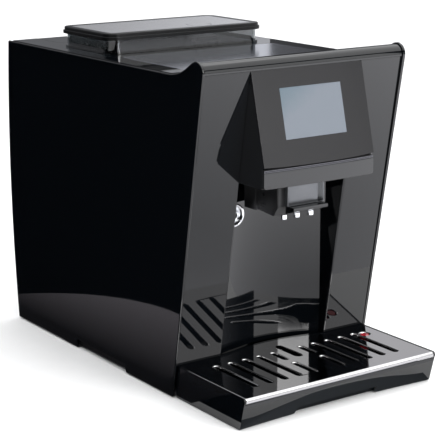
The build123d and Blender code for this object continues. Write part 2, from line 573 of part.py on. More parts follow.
with BuildPart() as drip_tray:
    with BuildSketch(Plane.YZ.offset(-TRAY_HALF)):
        with BuildLine():
            Polyline((TRAY_BACK, SKIRT), (TRAY_FRONT + TRAY_LEAN, SKIRT), LIP_LOW)
            ThreePointArc(LIP_LOW, LIP_MID, LIP_HIGH)
            Polyline(LIP_HIGH, (TRAY_BACK, TRAY_TOP), (TRAY_BACK, SKIRT))
        make_face()
    extrude(amount=2 * TRAY_HALF)
    # basin, with a shallow stretch at the front
    with BuildSketch(Plane.XY.offset(FLOOR)):
        with Locations((0, (BASIN_FRONT + BASIN_BACK) / 2)):
            RectangleRounded(2 * BASIN_HALF, BASIN_BACK - BASIN_FRONT, 6)
    extrude(amount=TRAY_TOP, mode=Mode.SUBTRACT)
    with BuildSketch(Plane.XY.offset(SHELF)):
        with Locations((0, (SHELF_FRONT + BASIN_BACK) / 2)):
            RectangleRounded(2 * BASIN_HALF, BASIN_BACK - SHELF_FRONT, 6)
    extrude(amount=TRAY_TOP, mode=Mode.SUBTRACT)
    # tongue that slides under the niche wall and catches the brew unit's drips
    with BuildSketch(Plane.XY.offset(TONGUE_LOW)):
        with Locations((0, (TRAY_BACK + TONGUE_BACK) / 2 - 1)):
            Rectangle(2 * TONGUE_HALF, TONGUE_BACK - TRAY_BACK + 2)
    extrude(amount=TONGUE_TOP - TONGUE_LOW)
    with BuildSketch(Plane.XY.offset(TONGUE_LOW + WALL)):
        with Locations((0, (BASIN_BACK + TONGUE_BACK - WALL) / 2)):
            Rectangle(2 * (TONGUE_HALF - WALL), TONGUE_BACK - WALL - BASIN_BACK + 1)
    extrude(amount=TRAY_TOP, mode=Mode.SUBTRACT)
    # arched rim across the mouth of the niche
    with BuildSketch(Plane.XY.offset(TRAY_TOP)):
        with BuildLine():
            ThreePointArc((-NICHE, TRAY_BACK), (0, ARCH_MID + RIM_BEHIND), (NICHE, TRAY_BACK))
            Line((NICHE, TRAY_BACK), (NICHE, TRAY_BACK - RIM_BEHIND - RIM_FRONT))
            ThreePointArc((NICHE, TRAY_BACK - RIM_BEHIND - RIM_FRONT), (0, ARCH_MID - RIM_FRONT), (-NICHE, TRAY_BACK - RIM_BEHIND - RIM_FRONT))
            Line((-NICHE, TRAY_BACK - RIM_BEHIND - RIM_FRONT), (-NICHE, TRAY_BACK))
        make_face()
    extrude(amount=-RIM_DEPTH)
    # seat for the drip plate and its rolled front
    with BuildSketch(Plane.XY.offset(TRAY_TOP - PLATE_T - 0.5)):
        add(plate_outline(SEAT_GAP, TRAY_FRONT - 2))
    extrude(amount=2 * PLATE_T, mode=Mode.SUBTRACT)
    with Locations((0, LIP_LOW[0] + 2.5, LIP_LOW[1] - 0.3)):
        Box(2 * (PLATE_HALF + SEAT_GAP), 5, 10,
            align=(Align.CENTER, Align.MAX, Align.MIN), mode=Mode.SUBTRACT)
    # finger notch under the front
    with BuildSketch(Plane.XZ.offset(-TRAY_FRONT)):
        with BuildLine():
            Polyline((-52, 0), (-49, 8), (49, 8), (52, 0), close=True)
        make_face()
    extrude(amount=-NOTCH_DEPTH, mode=Mode.SUBTRACT)
    # float guide post
    with Locations((FLOAT_X, FLOAT_Y, FLOOR)):
        Cylinder(6.6, 12, align=(Align.CENTER, Align.CENTER, Align.MIN))
        Cylinder(FLOAT_RADIUS + 0.5, 30, align=(Align.CENTER, Align.CENTER, Align.MIN), mode=Mode.SUBTRACT)
drip_tray.part.label = "drip_tray"
export_step(drip_tray.part, "parts/drip_tray.step")

with BuildPart() as drip_plate:
    with BuildSketch(Plane.XY.offset(TRAY_TOP - PLATE_T)):
        add(plate_outline(0, LIP_HIGH[0]))
        with Locations(*[(side * SLOT_PITCH * i, OUTER_SLOT_Y) for side in (-1, 1) for i in (2, 3, 4, 5)]):
            SlotOverall(OUTER_SLOT, SLOT_W, rotation=90, mode=Mode.SUBTRACT)
        with Locations(*[(side * SLOT_PITCH, REAR_SLOT_Y) for side in (-1, 1)]):
            SlotOverall(REAR_SLOT, SLOT_W, rotation=90, mode=Mode.SUBTRACT)
        with Locations(*[(side * SLOT_PITCH, FRONT_SLOT_Y) for side in (-1, 1)]):
            SlotOverall(FRONT_SLOT, SLOT_W, rotation=90, mode=Mode.SUBTRACT)
        with Locations((0, MIDDLE_SLOT_Y)):
            SlotOverall(MIDDLE_SLOT, SLOT_W + 2, rotation=90, mode=Mode.SUBTRACT)
        with Locations((FLOAT_X, FLOAT_Y)):
            Circle(FLOAT_RADIUS + 0.7, mode=Mode.SUBTRACT)
    extrude(amount=PLATE_T)
    # front edge rolled down over the tray's lip
    with BuildSketch(Plane.YZ.offset(-PLATE_HALF)):
        with BuildLine():
            roll_low = (LIP_LOW[0] + PLATE_T, LIP_LOW[1] + 0.3)
            roll_high = (LIP_HIGH[0] + 0.7, TRAY_TOP - PLATE_T)
            ThreePointArc(LIP_HIGH, LIP_MID, LIP_LOW)
            Line(LIP_LOW, roll_low)
            ThreePointArc(roll_low, (LIP_MID[0] + PLATE_T + 0.05, LIP_MID[1]), roll_high)
            Polyline(roll_high, (roll_high[0], TRAY_TOP), LIP_HIGH)
        make_face()
    extrude(amount=2 * PLATE_HALF)
drip_plate.part.label = "drip_plate"
export_step(drip_plate.part, "parts/drip_plate.step")

with BuildPart() as tray_float:
    with BuildSketch(Plane.XY.offset(SKIRT + WALL + 0.3)):
        with Locations((FLOAT_X, FLOAT_Y)):
            Circle(FLOAT_RADIUS)
    extrude(amount=TRAY_TOP - SKIRT - WALL - 0.9)
    fillet(tray_float.edges().group_by(Axis.Z)[-1], 1.4)
tray_float.part.label = "tray_float"
export_step(tray_float.part, "parts/tray_float.step")

# ---------------------------------------------------------------- bean hopper
BOWL_HIGH = 338.0
BOWL_WALL = 2.2
BOWL_LOW = 298.0
LID_WIDTH, LID_DEPTH, LID_CORNER = 198.0, 106.0, 15.0
PANEL_WIDTH, PANEL_DEPTH = 179.0, 86.0      # grey panel in the lid
THROAT_X, THROAT_Y = -35.0, 85.0
THROAT_Z = 268.0
KNOB_X, KNOB_Y = 36.0, 61.0

with BuildPart() as bean_hopper:
    with BuildSketch(Plane.XY.offset(BOWL_LOW)):
        with Locations((HOPPER_X, HOPPER_Y)):
            RectangleRounded(BOWL_WIDTH, BOWL_DEPTH, BOWL_CORNER)
    extrude(amount=BOWL_HIGH - BOWL_LOW)
    with BuildSketch(Plane.XY.offset(COVER_TOP + 0.3)):
        with Locations((HOPPER_X, HOPPER_Y)):
            RectangleRounded(BOWL_WIDTH + 4, BOWL_DEPTH + 4, BOWL_CORNER + 2)
    extrude(amount=2)
    with BuildSketch(Plane.XY.offset(BOWL_LOW)):
        with Locations((HOPPER_X, HOPPER_Y)):
            RectangleRounded(BOWL_WIDTH, BOWL_DEPTH, BOWL_CORNER)
    with BuildSketch(Plane.XY.offset(THROAT_Z + 12)):
        with Locations((THROAT_X, THROAT_Y)):
            RectangleRounded(52, 52, 20)
    loft()
    with Locations((THROAT_X, THROAT_Y, THROAT_Z)):
        Cylinder(24, 14, align=(Align.CENTER, Align.CENTER, Align.MIN))
    with BuildSketch(Plane.XY.offset(300)):
        with Locations((HOPPER_X, HOPPER_Y)):
            RectangleRounded(BOWL_WIDTH - 2 * BOWL_WALL, BOWL_DEPTH - 2 * BOWL_WALL,
                             BOWL_CORNER - BOWL_WALL)
    extrude(amount=60, mode=Mode.SUBTRACT)
    with BuildSketch(Plane.XY.offset(300)):
        with Locations((HOPPER_X, HOPPER_Y)):
            RectangleRounded(BOWL_WIDTH - 2 * BOWL_WALL, BOWL_DEPTH - 2 * BOWL_WALL,
                             BOWL_CORNER - BOWL_WALL)
    with BuildSketch(Plane.XY.offset(THROAT_Z + 13)):
        with Locations((THROAT_X, THROAT_Y)):
            RectangleRounded(46, 46, 18)
    loft(mode=Mode.SUBTRACT)
    with Locations((THROAT_X, THROAT_Y, THROAT_Z - 1)):
        Cylinder(21, 20, align=(Align.CENTER, Align.CENTER, Align.MIN), mode=Mode.SUBTRACT)
    # socket for the grind knob's stem
    with Locations((KNOB_X, KNOB_Y, 283)):
        Cylinder(6, 27, align=(Align.CENTER, Align.CENTER, Align.MIN))
        Cylinder(3.05, 60, mode=Mode.SUBTRACT)
bean_hopper.part.label = "bean_hopper"
export_step(bean_hopper.part, "parts/bean_hopper.step")

with BuildPart() as grind_knob:
    with BuildSketch(Plane.XY.offset(311)):
        with Locations((KNOB_X, KNOB_Y)):
            Circle(17)
    extrude(amount=15)
    with BuildSketch(Plane.XY.offset(316)):
        with Locations((KNOB_X, KNOB_Y)):
            with PolarLocations(17.6, 18):
                Circle(1.9)
    extrude(amount=12, mode=Mode.SUBTRACT)
    with Locations((KNOB_X, KNOB_Y, 327)):
        Box(26, 5, 7)
    with Locations((KNOB_X, KNOB_Y, 285)):
        Cylinder(3, 27, align=(Align.CENTER, Align.CENTER, Align.MIN))
grind_knob.part.label = "grind_knob"
export_step(grind_knob.part, "parts/grind_knob.step")

with BuildPart() as lid_seal:
    with BuildSketch(Plane.XY.offset(BOWL_HIGH + 0.3)):
        with Locations((HOPPER_X, HOPPER_Y)):
            RectangleRounded(BOWL_WIDTH, BOWL_DEPTH, BOWL_CORNER)
            RectangleRounded(BOWL_WIDTH - 7, BOWL_DEPTH - 7, BOWL_CORNER - 3.5,
                             mode=Mode.SUBTRACT)
    extrude(amount=0.9)
lid_seal.part.label = "lid_seal"
export_step(lid_seal.part, "parts/lid_seal.step")

with BuildPart() as hopper_lid:
    with BuildSketch(Plane.XY.offset(BOWL_HIGH - 1.0)):
        with Locations((HOPPER_X, HOPPER_Y)):
            RectangleRounded(LID_WIDTH, LID_DEPTH, LID_CORNER)
    extrude(amount=3.4)
    with BuildSketch(Plane.XY.offset(BOWL_HIGH + 2.4)):
        with Locations((HOPPER_X, HOPPER_Y)):
            RectangleRounded(LID_WIDTH - 3, LID_DEPTH - 3, LID_CORNER - 1.5)
    extrude(amount=3.6)
    fillet(hopper_lid.faces().sort_by(Axis.Z)[-1].edges(), 1.2)
    with BuildSketch(Plane.XY.offset(BOWL_HIGH - 1.0)):
        with Locations((HOPPER_X, HOPPER_Y)):
            RectangleRounded(BOWL_WIDTH + 1, BOWL_DEPTH + 1, BOWL_CORNER + 0.5)
    extrude(amount=2.2, mode=Mode.SUBTRACT)
    with BuildSketch(Plane.XY.offset(BOWL_HIGH + 6.0)):
        with Locations((HOPPER_X, HOPPER_Y)):
            RectangleRounded(PANEL_WIDTH + 0.4, PANEL_DEPTH + 0.4, 3)
    extrude(amount=-1.2, mode=Mode.SUBTRACT)
hopper_lid.part.label = "hopper_lid"
export_step(hopper_lid.part, "parts/hopper_lid.step")

RING_X, RING_Y = 27.0, 60.0
with BuildPart() as lid_inset:
    with BuildSketch(Plane.XY.offset(BOWL_HIGH + 4.8)):
        with Locations((HOPPER_X, HOPPER_Y)):
            RectangleRounded(PANEL_WIDTH, PANEL_DEPTH, 2.8)
    extrude(amount=1.0)
    with BuildSketch(Plane.XY.offset(BOWL_HIGH + 6.0)):
        with Locations((RING_X, RING_Y)):
            Circle(14)
            Circle(12.6, mode=Mode.SUBTRACT)
    extrude(amount=-0.7, mode=Mode.SUBTRACT)
lid_inset.part.label = "lid_inset"
export_step(lid_inset.part, "parts/lid_inset.step")

# ---------------------------------------------------------------- water tank
TANK_FRONT, TANK_BACK = 163.0, 211.0
TANK_LOW, TANK_HIGH = 56.0, 312.0
TANK_HALF = 86.0
VALVE_X, VALVE_Y = 50.0, 187.0
LID_HINGE_Y, LID_HINGE_Z = 207.1, 318.2

with BuildPart() as water_tank:
    with BuildSketch(Plane.XY.offset(TANK_LOW)):
        with Locations((0, (TANK_FRONT + TANK_BACK) / 2)):
            RectangleRounded(2 * TANK_HALF, TANK_BACK - TANK_FRONT, 8)
    extrude(amount=TANK_HIGH - TANK_LOW)
    with BuildSketch(Plane.XY.offset(TANK_LOW + WALL)):
        with Locations((0, (TANK_FRONT + TANK_BACK) / 2)):
            RectangleRounded(2 * TANK_HALF - 5, TANK_BACK - TANK_FRONT - 5, 5.5)
    extrude(amount=TANK_HIGH, mode=Mode.SUBTRACT)
    # spigot for the valve
    with Locations((VALVE_X, VALVE_Y, TANK_LOW)):
        Cylinder(9, 12, align=(Align.CENTER, Align.CENTER, Align.MAX))
        Cylinder(5.05, 60, mode=Mode.SUBTRACT)
    with Locations((VALVE_X, VALVE_Y, TANK_LOW - 12)):
        Cylinder(7, 9, align=(Align.CENTER, Align.CENTER, Align.MIN), mode=Mode.SUBTRACT)
    # lugs and pins for the lid
    for x in (-60, 60):
        with Locations((x, LID_HINGE_Y, LID_HINGE_Z)):
            Box(6, 3, 18.5, align=(Align.CENTER, Align.CENTER, Align.MAX))
        with Locations(Location((x, LID_HINGE_Y, LID_HINGE_Z), (0, 90, 0))):
            Cylinder(1.85, 6)
            Cylinder(1.0, 12)
water_tank.part.label = "water_tank"
export_step(water_tank.part, "parts/water_tank.step")

TANK_LID_BACK = 211.4
with BuildPart() as tank_lid:
    with BuildSketch(Plane.XY.offset(COVER_TOP)):
        with Locations((0, (TANK_LID_FRONT + TANK_LID_BACK) / 2)):
            Rectangle(2 * TANK_LID_HALF, TANK_LID_BACK - TANK_LID_FRONT)
    extrude(amount=-2.4)
    fillet(tank_lid.edges().filter_by(Axis.Z).group_by(Axis.Y)[0], 6.6)
    fillet(tank_lid.edges().filter_by(Axis.X).group_by(Axis.Z)[-1].sort_by(Axis.Y)[-1], 2)
    # lip for the fingers, and the clips on the tank's pins
    with Locations((0, TANK_LID_FRONT + 9, COVER_TOP - 2.4)):
        Box(60, 5, 3, align=(Align.CENTER, Align.CENTER, Align.MAX))
    for x in (-64.6, -55.4, 55.4, 64.6):
        with Locations((x, LID_HINGE_Y, COVER_TOP - 2.2)):
            Box(2.2, 3.4, 3.8, align=(Align.CENTER, Align.CENTER, Align.MAX))
        with Locations(Location((x, LID_HINGE_Y, LID_HINGE_Z), (0, 90, 0))):
            Cylinder(1.06, 4, mode=Mode.SUBTRACT)
tank_lid.part.label = "tank_lid"
export_step(tank_lid.part, "parts/tank_lid.step")

with BuildPart() as tank_valve:
    with BuildSketch(Plane.XY.offset(TANK_LOW - 8)):
        with Locations((VALVE_X, VALVE_Y)):
            Circle(2.0)
    extrude(amount=24)
    with BuildSketch(Plane.XY.offset(TANK_LOW + WALL + 0.4)):
        with Locations((VALVE_X, VALVE_Y)):
            Circle(6.5)
    extrude(amount=2.5)
tank_valve.part.label = "tank_valve"
export_step(tank_valve.part, "parts/tank_valve.step")

SOCKET_TOP = TANK_LOW - 15.6
with BuildPart() as tank_socket:
    with Locations((VALVE_X, VALVE_Y, 5.5)):
        Box(34, 34, SOCKET_TOP - 5.5, align=(Align.CENTER, Align.CENTER, Align.MIN))
    with Locations((VALVE_X, VALVE_Y, SOCKET_TOP)):
        Cylinder(12, 9, align=(Align.CENTER, Align.CENTER, Align.MIN))
        Cylinder(9.4, 9, align=(Align.CENTER, Align.CENTER, Align.MIN), mode=Mode.SUBTRACT)
        Cylinder(2, 6.8, align=(Align.CENTER, Align.CENTER, Align.MIN))
tank_socket.part.label = "tank_socket"
export_step(tank_socket.part, "parts/tank_socket.step")

# ---------------------------------------------------------------- grinder
GRIND_X, GRIND_Y = THROAT_X, THROAT_Y
BURR_Z = 232.0              # meeting plane of the burrs

with BuildPart() as grinder_housing:
    with Locations((GRIND_X, GRIND_Y, 206)):
        Cylinder(41, 60, align=(Align.CENTER, Align.CENTER, Align.MIN))
        Cylinder(37, 52, align=(Align.CENTER, Align.CENTER, Align.MIN), mode=Mode.SUBTRACT)
    with Locations((GRIND_X, GRIND_Y, 250)):
        Cylinder(18, 40, mode=Mode.SUBTRACT)
    # floor round the shaft, and the chute to the brew chamber
    with Locations((GRIND_X, GRIND_Y, 203)):
        Cylinder(41, 6, align=(Align.CENTER, Align.CENTER, Align.MIN))
        Cylinder(9, 20, mode=Mode.SUBTRACT)
    with Locations((GRIND_X + 38, GRIND_Y, 218)):
        Box(10, 22, 12, mode=Mode.SUBTRACT)
grinder_housing.part.label = "grinder_housing"
export_step(grinder_housing.part, "parts/grinder_housing.step")

with BuildPart() as upper_burr:
    with Locations((GRIND_X, GRIND_Y, BURR_Z + 0.5)):
        Cylinder(30, 8, align=(Align.CENTER, Align.CENTER, Align.MIN))
        Cone(12, 19, 8.1, align=(Align.CENTER, Align.CENTER, Align.MIN), mode=Mode.SUBTRACT)
    with Locations((GRIND_X, GRIND_Y, BURR_Z + 8.5)):
        Cylinder(35, 15, align=(Align.CENTER, Align.CENTER, Align.MIN))
        Cylinder(17, 15, align=(Align.CENTER, Align.CENTER, Align.MIN), mode=Mode.SUBTRACT)
upper_burr.part.label = "upper_burr"
export_step(upper_burr.part, "parts/upper_burr.step")

with BuildPart() as lower_burr:
    with Locations((GRIND_X, GRIND_Y, BURR_Z - 8)):
        Cylinder(30, 8, align=(Align.CENTER, Align.CENTER, Align.MIN))
    with Locations((GRIND_X, GRIND_Y, BURR_Z)):
        Cone(9, 3, 11, align=(Align.CENTER, Align.CENTER, Align.MIN))
    with Locations((GRIND_X, GRIND_Y, BURR_Z - 14)):
        Cylinder(24, 6, align=(Align.CENTER, Align.CENTER, Align.MIN))
    with Locations((GRIND_X, GRIND_Y, 150)):
        Cylinder(5, 70, align=(Align.CENTER, Align.CENTER, Align.MIN))
lower_burr.part.label = "lower_burr"
export_step(lower_burr.part, "parts/lower_burr.step")

with BuildPart() as grinder_motor:
    with Locations((GRIND_X, GRIND_Y, 120)):
        Cylinder(32, 82.5, align=(Align.CENTER, Align.CENTER, Align.MIN))
        Cylinder(5.05, 100, align=(Align.CENTER, Align.CENTER, Align.MIN), mode=Mode.SUBTRACT)
    fillet(grinder_motor.edges().group_by(Axis.Z)[0], 2)
grinder_motor.part.label = "grinder_motor"
export_step(grinder_motor.part, "parts/grinder_motor.step")

# ---------------------------------------------------------------- brew unit
BREW_X, BREW_Y = 52.0, 12.0
CHAMBER_R = 21.0
SPINDLE_Y = BREW_Y + 46

with BuildPart() as brew_frame:
    with Locations((BREW_X, BREW_Y + 18, 62)):
        Box(76, 104, 5, align=(Align.CENTER, Align.CENTER, Align.MIN))
    with Locations((BREW_X, BREW_Y + 18, 206)):
        Box(76, 104, 5, align=(Align.CENTER, Align.CENTER, Align.MIN))
    for side in (-1, 1):
        with Locations((BREW_X + side * 36, BREW_Y + 18, 67)):
            Box(4, 104, 139, align=(Align.CENTER, Align.CENTER, Align.MIN))
    with Locations((BREW_X, SPINDLE_Y, 60)):
        Cylinder(6.06, 10, align=(Align.CENTER, Align.CENTER, Align.MIN), mode=Mode.SUBTRACT)
    with Locations((BREW_X, SPINDLE_Y, 200)):
        Cylinder(4.06, 20, align=(Align.CENTER, Align.CENTER, Align.MIN), mode=Mode.SUBTRACT)
    with Locations((BREW_X, BREW_Y, 200)):
        Cylinder(8, 20, align=(Align.CENTER, Align.CENTER, Align.MIN), mode=Mode.SUBTRACT)
brew_frame.part.label = "brew_frame"
export_step(brew_frame.part, "parts/brew_frame.step")

with BuildPart() as brew_chamber:
    with Locations((BREW_X, BREW_Y, 118)):
        Cylinder(26, 58, align=(Align.CENTER, Align.CENTER, Align.MIN))
        Cylinder(CHAMBER_R, 60, align=(Align.CENTER, Align.CENTER, Align.MIN), mode=Mode.SUBTRACT)
    with Locations((BREW_X, BREW_Y, 140)):
        Box(67.8, 12, 16, align=(Align.CENTER, Align.CENTER, Align.MIN))
        Cylinder(CHAMBER_R, 60, mode=Mode.SUBTRACT)
brew_chamber.part.label = "brew_chamber"
export_step(brew_chamber.part, "parts/brew_chamber.step")

with BuildPart() as upper_piston:
    with Locations((BREW_X, BREW_Y, 168)):
        Cylinder(CHAMBER_R - 0.5, 8, align=(Align.CENTER, Align.CENTER, Align.MIN))
    with Locations((BREW_X, BREW_Y, 176)):
        Cylinder(7.5, 40, align=(Align.CENTER, Align.CENTER, Align.MIN))
    with Locations((BREW_X, BREW_Y, 192)):
        Cylinder(13, 14, align=(Align.CENTER, Align.CENTER, Align.MIN))
    with Locations((BREW_X, BREW_Y, 165)):
        Cylinder(2, 60, align=(Align.CENTER, Align.CENTER, Align.MIN), mode=Mode.SUBTRACT)
upper_piston.part.label = "upper_piston"
export_step(upper_piston.part, "parts/upper_piston.step")

with BuildPart() as lower_piston:
    with Locations((BREW_X, BREW_Y, 119)):
        Cylinder(CHAMBER_R - 0.06, 8, align=(Align.CENTER, Align.CENTER, Align.MIN))
    with Locations((BREW_X, BREW_Y, 72)):
        Cylinder(8, 47, align=(Align.CENTER, Align.CENTER, Align.MIN))
    with Locations((BREW_X, (BREW_Y + SPINDLE_Y) / 2, 72)):
        Box(22, SPINDLE_Y - BREW_Y + 22, 10, align=(Align.CENTER, Align.CENTER, Align.MIN))
    with Locations((BREW_X, SPINDLE_Y, 60)):
        Cylinder(6.07, 60, align=(Align.CENTER, Align.CENTER, Align.MIN), mode=Mode.SUBTRACT)
lower_piston.part.label = "lower_piston"
export_step(lower_piston.part, "parts/lower_piston.step")

with BuildPart() as brew_spindle:
    with Locations((BREW_X, SPINDLE_Y, 52)):
        Cylinder(6, 152, align=(Align.CENTER, Align.CENTER, Align.MIN))
    with Locations((BREW_X, SPINDLE_Y, 204)):
        Cylinder(4, 8, align=(Align.CENTER, Align.CENTER, Align.MIN))
brew_spindle.part.label = "brew_spindle"
export_step(brew_spindle.part, "parts/brew_spindle.step")

with BuildPart() as brew_gearmotor:
    with Locations((BREW_X, SPINDLE_Y, 34)):
        Box(46, 46, 27.5, align=(Align.CENTER, Align.CENTER, Align.MIN))
    with Locations(Location((BREW_X - 23, SPINDLE_Y, 48), (0, -90, 0))):
        Cylinder(13, 40, align=(Align.CENTER, Align.CENTER, Align.MIN))
    with Locations((BREW_X, SPINDLE_Y, 50)):
        Cylinder(6.06, 20, align=(Align.CENTER, Align.CENTER, Align.MIN), mode=Mode.SUBTRACT)
brew_gearmotor.part.label = "brew_gearmotor"
export_step(brew_gearmotor.part, "parts/brew_gearmotor.step")

# ---------------------------------------------------------------- water circuit
with BuildPart() as thermoblock:
    with Locations((-96, 10, 110)):
        Box(26, 84, 96, align=(Align.CENTER, Align.CENTER, Align.MIN))
    chamfer(thermoblock.edges().filter_by(Axis.X), 4)
    with Locations(*[(-109, 10, 122 + 12 * i) for i in range(7)]):
        Box(4, 84, 3, mode=Mode.SUBTRACT)
    with Locations((-96, 10, 206)):
        Cylinder(5, 10, align=(Align.CENTER, Align.CENTER, Align.MIN))
thermoblock.part.label = "thermoblock"
export_step(thermoblock.part, "parts/thermoblock.step")

PUMP_X, PUMP_Z = -84.0, 44.0
with BuildPart() as pump_body:
    with Locations(Location((PUMP_X, 20, PUMP_Z), (90, 0, 0))):
        Cylinder(17, 60)
        Cylinder(11, 45, mode=Mode.SUBTRACT)
    with Locations((PUMP_X, 20, 12)):
        Box(30, 40, 18, align=(Align.CENTER, Align.CENTER, Align.MIN))
        with Locations(Location((0, 0, 32), (90, 0, 0))):
            Cylinder(14, 42, mode=Mode.SUBTRACT)
    with Locations(Location((PUMP_X, 57, PUMP_Z), (90, 0, 0))):
        Cylinder(5, 16)
    with Locations(Location((PUMP_X, -17, PUMP_Z), (90, 0, 0))):
        Cylinder(5, 16)
pump_body.part.label = "pump_body"
export_step(pump_body.part, "parts/pump_body.step")

with BuildPart() as pump_plunger:
    with Locations(Location((PUMP_X, 26, PUMP_Z), (90, 0, 0))):
        Cylinder(10.95, 18)
pump_plunger.part.label = "pump_plunger"
export_step(pump_plunger.part, "parts/pump_plunger.step")

METER_X, METER_Y, METER_Z = -30.0, 130.0, 60.0
with BuildPart() as flow_meter:
    with Locations((METER_X, METER_Y, METER_Z)):
        Cylinder(16, 16)
        Cylinder(13, 11, mode=Mode.SUBTRACT)
    with Locations((METER_X, METER_Y, METER_Z - 12)):
        Cylinder(4, 8)
    with Locations(Location((METER_X - 20, METER_Y, METER_Z), (0, 90, 0))):
        Cylinder(4, 12)
    with Locations((METER_X, METER_Y, METER_Z)):
        Cylinder(1.5, 14)
flow_meter.part.label = "flow_meter"
export_step(flow_meter.part, "parts/flow_meter.step")

with BuildPart() as flow_turbine:
    with Locations((METER_X, METER_Y, METER_Z)):
        Cylinder(5, 9)
        with PolarLocations(8, 6):
            Box(8, 1.2, 8)
        Cylinder(1.56, 14, mode=Mode.SUBTRACT)
flow_turbine.part.label = "flow_turbine"
export_step(flow_turbine.part, "parts/flow_turbine.step")

SOLENOID_X, SOLENOID_Y, SOLENOID_Z = 48.0, 128.0, 150.0
with BuildPart() as solenoid_valve:
    with Locations((SOLENOID_X, SOLENOID_Y, SOLENOID_Z)):
        Box(24, 24, 30)
        Cylinder(5, 60, mode=Mode.SUBTRACT)
    with Locations((SOLENOID_X, SOLENOID_Y, SOLENOID_Z - 27)):
        Box(26, 26, 24)
        Cylinder(5, 12, align=(Align.CENTER, Align.CENTER, Align.MIN), mode=Mode.SUBTRACT)
solenoid_valve.part.label = "solenoid_valve"
export_step(solenoid_valve.part, "parts/solenoid_valve.step")

with BuildPart() as solenoid_plunger:
    with Locations((SOLENOID_X, SOLENOID_Y, SOLENOID_Z - 26)):
        Cylinder(4.95, 34, align=(Align.CENTER, Align.CENTER, Align.MIN))
solenoid_plunger.part.label = "solenoid_plunger"
export_step(solenoid_plunger.part, "parts/solenoid_plunger.step")

with BuildPart() as water_hoses:
    with BuildLine() as suction:
        FilletPolyline((METER_X, METER_Y, METER_Z - 16), (METER_X, METER_Y, 16),
                       (METER_X, VALVE_Y, 16), (VALVE_X - 17, VALVE_Y, 16), radius=8)
    with BuildSketch(Plane(origin=suction.line @ 0, z_dir=suction.line % 0)):
        Circle(3)
    sweep(path=suction.line)
    with BuildLine() as pressure:
        FilletPolyline((PUMP_X, 65, PUMP_Z), (PUMP_X, 96, PUMP_Z), (PUMP_X, 96, METER_Z),
                       (PUMP_X, METER_Y, METER_Z), (METER_X - 26, METER_Y, METER_Z), radius=7)
    with BuildSketch(Plane(origin=pressure.line @ 0, z_dir=pressure.line % 0)):
        Circle(3)
    sweep(path=pressure.line)
water_hoses.part.label = "water_hoses"
export_step(water_hoses.part, "parts/water_hoses.step")

# ---------------------------------------------------------------- electrics
with BuildPart() as power_board:
    with Locations((-112, 100, 60)):
        Box(1.6, 90, 120, align=(Align.CENTER, Align.CENTER, Align.MIN))
    with Locations((-105.2, 80, 80)):
        Box(12, 30, 34, align=(Align.CENTER, Align.CENTER, Align.MIN))
    with Locations((-107.2, 118, 90)):
        Box(8, 20, 20, align=(Align.CENTER, Align.CENTER, Align.MIN))
    with Locations((-107.2, 100, 140)):
        Box(8, 60, 10, align=(Align.CENTER, Align.CENTER, Align.MIN))
power_board.part.label = "power_board"
export_step(power_board.part, "parts/power_board.step")

with BuildPart() as control_board:
    with Locations((-100, -60, 110)):
        Box(26, 1.6, 96, align=(Align.CENTER, Align.CENTER, Align.MIN))
    with Locations((-100, -57.2, 150)):
        Box(16, 4, 16, align=(Align.CENTER, Align.CENTER, Align.MIN))
control_board.part.label = "control_board"
export_step(control_board.part, "parts/control_board.step")

with BuildPart() as power_inlet:
    with Locations((-60, BACK_PLATE + WALL / 2 - 8, 38)):
        Box(30, 22, 24)
    with Locations((-60, BACK_PLATE + WALL + 1, 38)):
        Box(36, 2, 30)
    with BuildSketch(Plane.XZ.offset(-BACK_PLATE - WALL - 2)):
        with Locations((-60, 38)):
            RectangleRounded(24.5, 16.5, 3)
    extrude(amount=16, mode=Mode.SUBTRACT)
    with Locations(*[(-60 + dx, BACK_PLATE - 6.6, 38 + dz) for dx, dz in ((-7, -2), (0, 2), (7, -2))]):
        Box(2, 10, 4)
power_inlet.part.label = "power_inlet"
export_step(power_inlet.part, "parts/power_inlet.step")

SWITCH_X, SWITCH_Z = -100.0, 38.0
ROCK_Y = BACK_PLATE - 1.0
with BuildPart() as switch_body:
    with Locations((SWITCH_X, BACK_PLATE + WALL / 2 - 7, SWITCH_Z)):
        Box(19, 19, 13)
    with Locations((SWITCH_X, BACK_PLATE + WALL + 0.8, SWITCH_Z)):
        Box(23, 1.6, 16)
    with Locations((SWITCH_X, BACK_PLATE, SWITCH_Z)):
        Box(16.4, 15, 10.4, mode=Mode.SUBTRACT)
    with Locations((SWITCH_X, ROCK_Y, SWITCH_Z)):
        Cylinder(1.0, 13)
switch_body.part.label = "switch_body"
export_step(switch_body.part, "parts/switch_body.step")

with BuildPart() as power_rocker:
    with BuildSketch(Plane.XY.offset(SWITCH_Z - 4.9)):
        with BuildLine():
            Polyline((SWITCH_X - 6.8, ROCK_Y + 6.4), (SWITCH_X, ROCK_Y + 4.6),
                     (SWITCH_X + 6.8, ROCK_Y + 5.6), (SWITCH_X + 6.2, ROCK_Y + 1),
                     (SWITCH_X + 2.2, ROCK_Y - 3), (SWITCH_X - 2.2, ROCK_Y - 3),
                     (SWITCH_X - 6.2, ROCK_Y + 1), close=True)
        make_face()
        with Locations((SWITCH_X, ROCK_Y)):
            Circle(1.05, mode=Mode.SUBTRACT)
    extrude(amount=9.8)
power_rocker.part.label = "power_rocker"
export_step(power_rocker.part, "parts/power_rocker.step")

# ---------------------------------------------------------------- grounds container
with BuildPart() as grounds_container:
    with Locations((-6, -60, 31)):
        Box(104, 44, 66, align=(Align.CENTER, Align.CENTER, Align.MIN))
    fillet(grounds_container.edges().filter_by(Axis.Z), 6)
    with Locations((-6, -60, 33)):
        Box(100, 40, 70, align=(Align.CENTER, Align.CENTER, Align.MIN), mode=Mode.SUBTRACT)
grounds_container.part.label = "grounds_container"
export_step(grounds_container.part, "parts/grounds_container.step")
